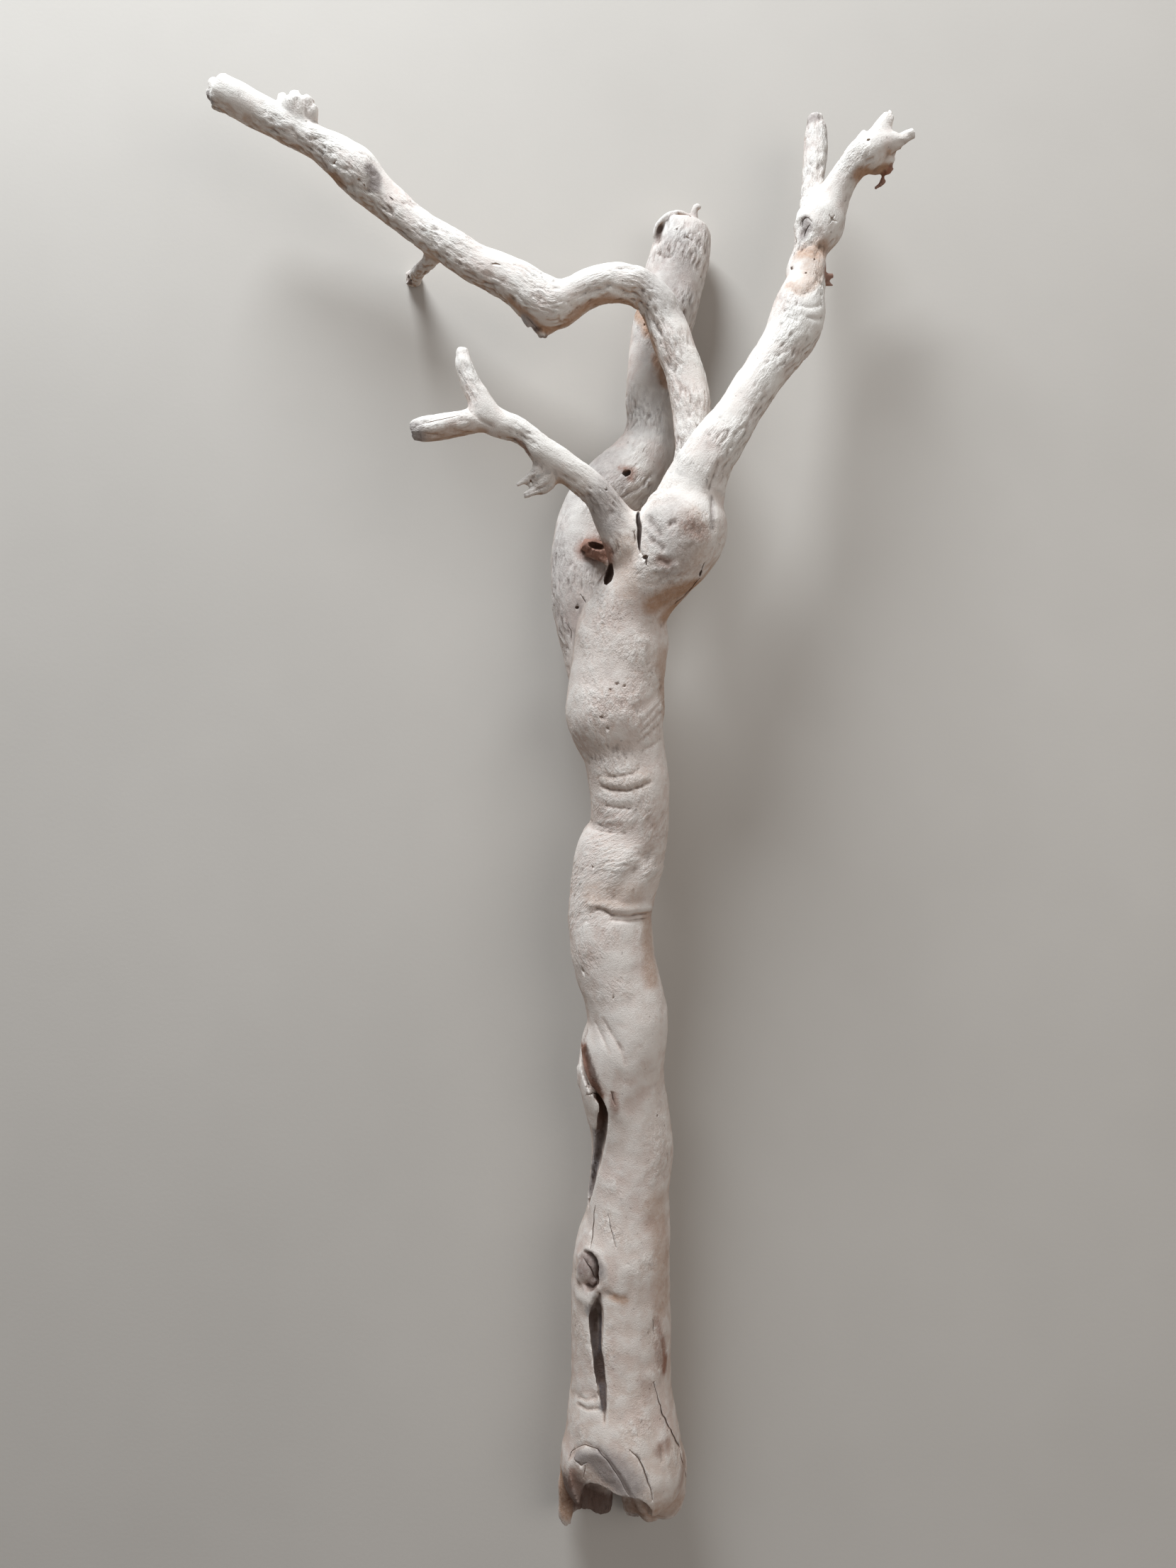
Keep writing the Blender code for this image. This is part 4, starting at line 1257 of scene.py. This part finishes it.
FLOOR_HALF = 2.0
FLOOR_PALE = colour(206, 203, 198)
FLOOR_SHADE = colour(198, 195, 190)
FLOOR_CLOUD = (3.0, 4, 0.6)
FLOOR_CLOUD_EDGE = (0.3, 0.7)
FLOOR_GRIT = (400.0, 2, 0.5)
FLOOR_GRIT_STRENGTH = 0.1
FLOOR_GRIT_HEIGHT = 0.4
FLOOR_ROUGHNESS = 0.9

# Lights: where they stand and how wide they are in metres, their power in watts and their tone.
LIGHTS = {
    "key": ((-0.45, 1.64, 0.68), 0.8, 38, (0.93, 0.97, 1.0)),
    "fill": ((0.9, 0.2, 1.4), 1.2, 6, (1.0, 0.95, 0.9)),
}
LIGHT_AIM = (0.05, 0, 0.05)
AROUND_TONE = (1.0, 0.92, 0.87, 1)
AROUND_STRENGTH = 0.2


def stained_and_shaded(graph, skin, ragged):
    """Adds each kind of stain and painted shade, with an edge that follows the ragged noise."""
    stray = graph.spread(ragged, 0.2, 0.8, -STAIN_AND_SHADE_RAGGED, STAIN_AND_SHADE_RAGGED)
    for kind, tone in STAIN_AND_SHADE_TONES.items():
        share = graph.math("ADD", graph.read(kind + "_patch"), stray)
        skin = graph.mix(graph.spread(share, *STAIN_AND_SHADE_EDGE, 0, STAIN_AND_SHADE_COVER), skin, tone)
    return skin


def skin_marks(graph):
    """What the skin's look is made from, by name."""
    metres = graph.node("ShaderNodeTexCoord").outputs["Object"]
    place = graph.stretch(metres, (1 / MM, 1 / MM, 1 / MM))
    spot = graph.split(metres)
    facing = graph.split(graph.node("ShaderNodeNewGeometry").outputs["Normal"])
    grain = graph.read("grain", "Vector")
    marks = {name: graph.read(name) for name in ("pitted", "crusty", "fine_hollow", "wide_hollow")}
    for name, (scale, detail, roughness) in PLACE_NOISES.items():
        marks[name] = graph.noise(place, scale, detail, roughness)
    for name, (scales, detail, roughness) in GRAIN_NOISES.items():
        marks[name] = graph.noise(graph.stretch(grain, scales), 1, detail, roughness)
    marks["along"] = spot["Y"]
    marks["height"] = spot["Z"]
    # Where the arms behind others begin, for the painted shade on their low parts.
    marks["behind"] = graph.spread(spot["Y"], *BEHIND)
    # Which way the skin faces, for the painted shade on sides that face down and on sides turned from the key
    # light.
    marks["facing_up"] = facing["Z"]
    marks["lit_side"] = graph.math("ADD", facing["Y"], graph.math("MULTIPLY", facing["Z"], UP_SHARE))
    return marks


def weighed(graph, share, marks, weight):
    return graph.math("MULTIPLY", share, marks[weight]) if weight else share


def tinted(graph, skin, marks, tints):
    for mark, start, full, cover, weight, tone in tints:
        share = graph.spread(marks[mark], start, full, 0, cover)
        skin = graph.mix(weighed(graph, share, marks, weight), skin, tone)
    return skin


def fine_relief(graph, marks):
    relief = 0
    for mark, share, weight in FINE_RELIEF:
        part = graph.math("MULTIPLY", marks[mark], share)
        relief = graph.math("ADD", relief, weighed(graph, part, marks, weight))
    return relief


def wood_material():
    material = bpy.data.materials.new("bare_wood")
    graph = Graph(material)
    marks = skin_marks(graph)
    skin = tinted(graph, ARM_WHITE, marks, TINTS)
    skin = stained_and_shaded(graph, skin, marks["ragged"])
    # Painted shade in the hollows goes on last.
    skin = tinted(graph, skin, marks, PAINTED_HOLLOW_SHADE)
    roughness = graph.spread(marks["blotch"], *WOOD_ROUGHNESS_EDGE, *WOOD_ROUGHNESS)
    graph.feed(graph.shader.inputs["Base Color"], skin)
    graph.feed(graph.shader.inputs["Roughness"], roughness)
    graph.shader.inputs["Specular IOR Level"].default_value = WOOD_SPECULAR
    graph.bump(fine_relief(graph, marks), 1.0, FINE_RELIEF_HEIGHT * MM)
    return material


def floor_material():
    material = bpy.data.materials.new("pale_floor")
    graph = Graph(material)
    place = graph.node("ShaderNodeTexCoord").outputs["Object"]
    cloud = graph.spread(graph.noise(place, *FLOOR_CLOUD), *FLOOR_CLOUD_EDGE)
    graph.feed(graph.shader.inputs["Base Color"], graph.mix(cloud, FLOOR_PALE, FLOOR_SHADE))
    graph.shader.inputs["Roughness"].default_value = FLOOR_ROUGHNESS
    graph.bump(graph.noise(place, *FLOOR_GRIT), FLOOR_GRIT_STRENGTH, FLOOR_GRIT_HEIGHT * MM)
    return material


def dressed_branch():
    branch = fused_limbs()
    cut_all(branch, wide_cutters())
    add_thin_forms(branch)
    remeshed(branch, FINE_VOXEL, FINE_SMOOTH_ROUNDS)
    press_skin(branch)
    thin_out(branch)
    cut_fine(branch)
    mark_skin(branch)
    for polygon in branch.data.polygons:
        polygon.use_smooth = True
    branch.data.materials.clear()
    branch.data.materials.append(wood_material())
    return branch


def floor():
    mesh = bpy.data.meshes.new("floor")
    corners = [(x, y, 0) for x, y in ((-1, -1), (1, -1), (1, 1), (-1, 1))]
    mesh.from_pydata([Vector(corner) * FLOOR_HALF for corner in corners], [], [(0, 1, 2, 3)])
    mesh.materials.append(floor_material())
    return new_object("floor", mesh)


def camera():
    lens = FOCAL_PIXELS / max(PICTURE_SIZE) * SENSOR
    data = bpy.data.cameras.new("camera")
    data.lens = lens
    data.sensor_width = SENSOR
    data.clip_start = NEAREST_SEEN
    obj = new_object("camera", data)
    obj.location = Vector(CAMERA_PLACE) * MM
    bpy.context.scene.camera = obj


def area_light(name, place, size, power, tone):
    data = bpy.data.lights.new(name, "AREA")
    data.shape = "DISK"
    data.size = size
    data.energy = power
    data.color = tone
    obj = new_object(name, data)
    obj.location = place
    way = Vector(LIGHT_AIM) - Vector(place)
    obj.rotation_euler = way.to_track_quat("-Z", "Y").to_euler()


def studio():
    for name, (place, size, power, tone) in LIGHTS.items():
        area_light(name, place, size, power, tone)
    world = bpy.data.worlds.new("studio")
    world.use_nodes = True
    background = world.node_tree.nodes["Background"]
    background.inputs["Color"].default_value = AROUND_TONE
    background.inputs["Strength"].default_value = AROUND_STRENGTH
    bpy.context.scene.world = world
    bpy.context.scene.view_settings.view_transform = "Standard"


def main():
    clear_default_objects()
    branch = dressed_branch()
    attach(branch, "root")
    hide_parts("grapevine_branch")
    floor()
    camera()
    studio()


main()
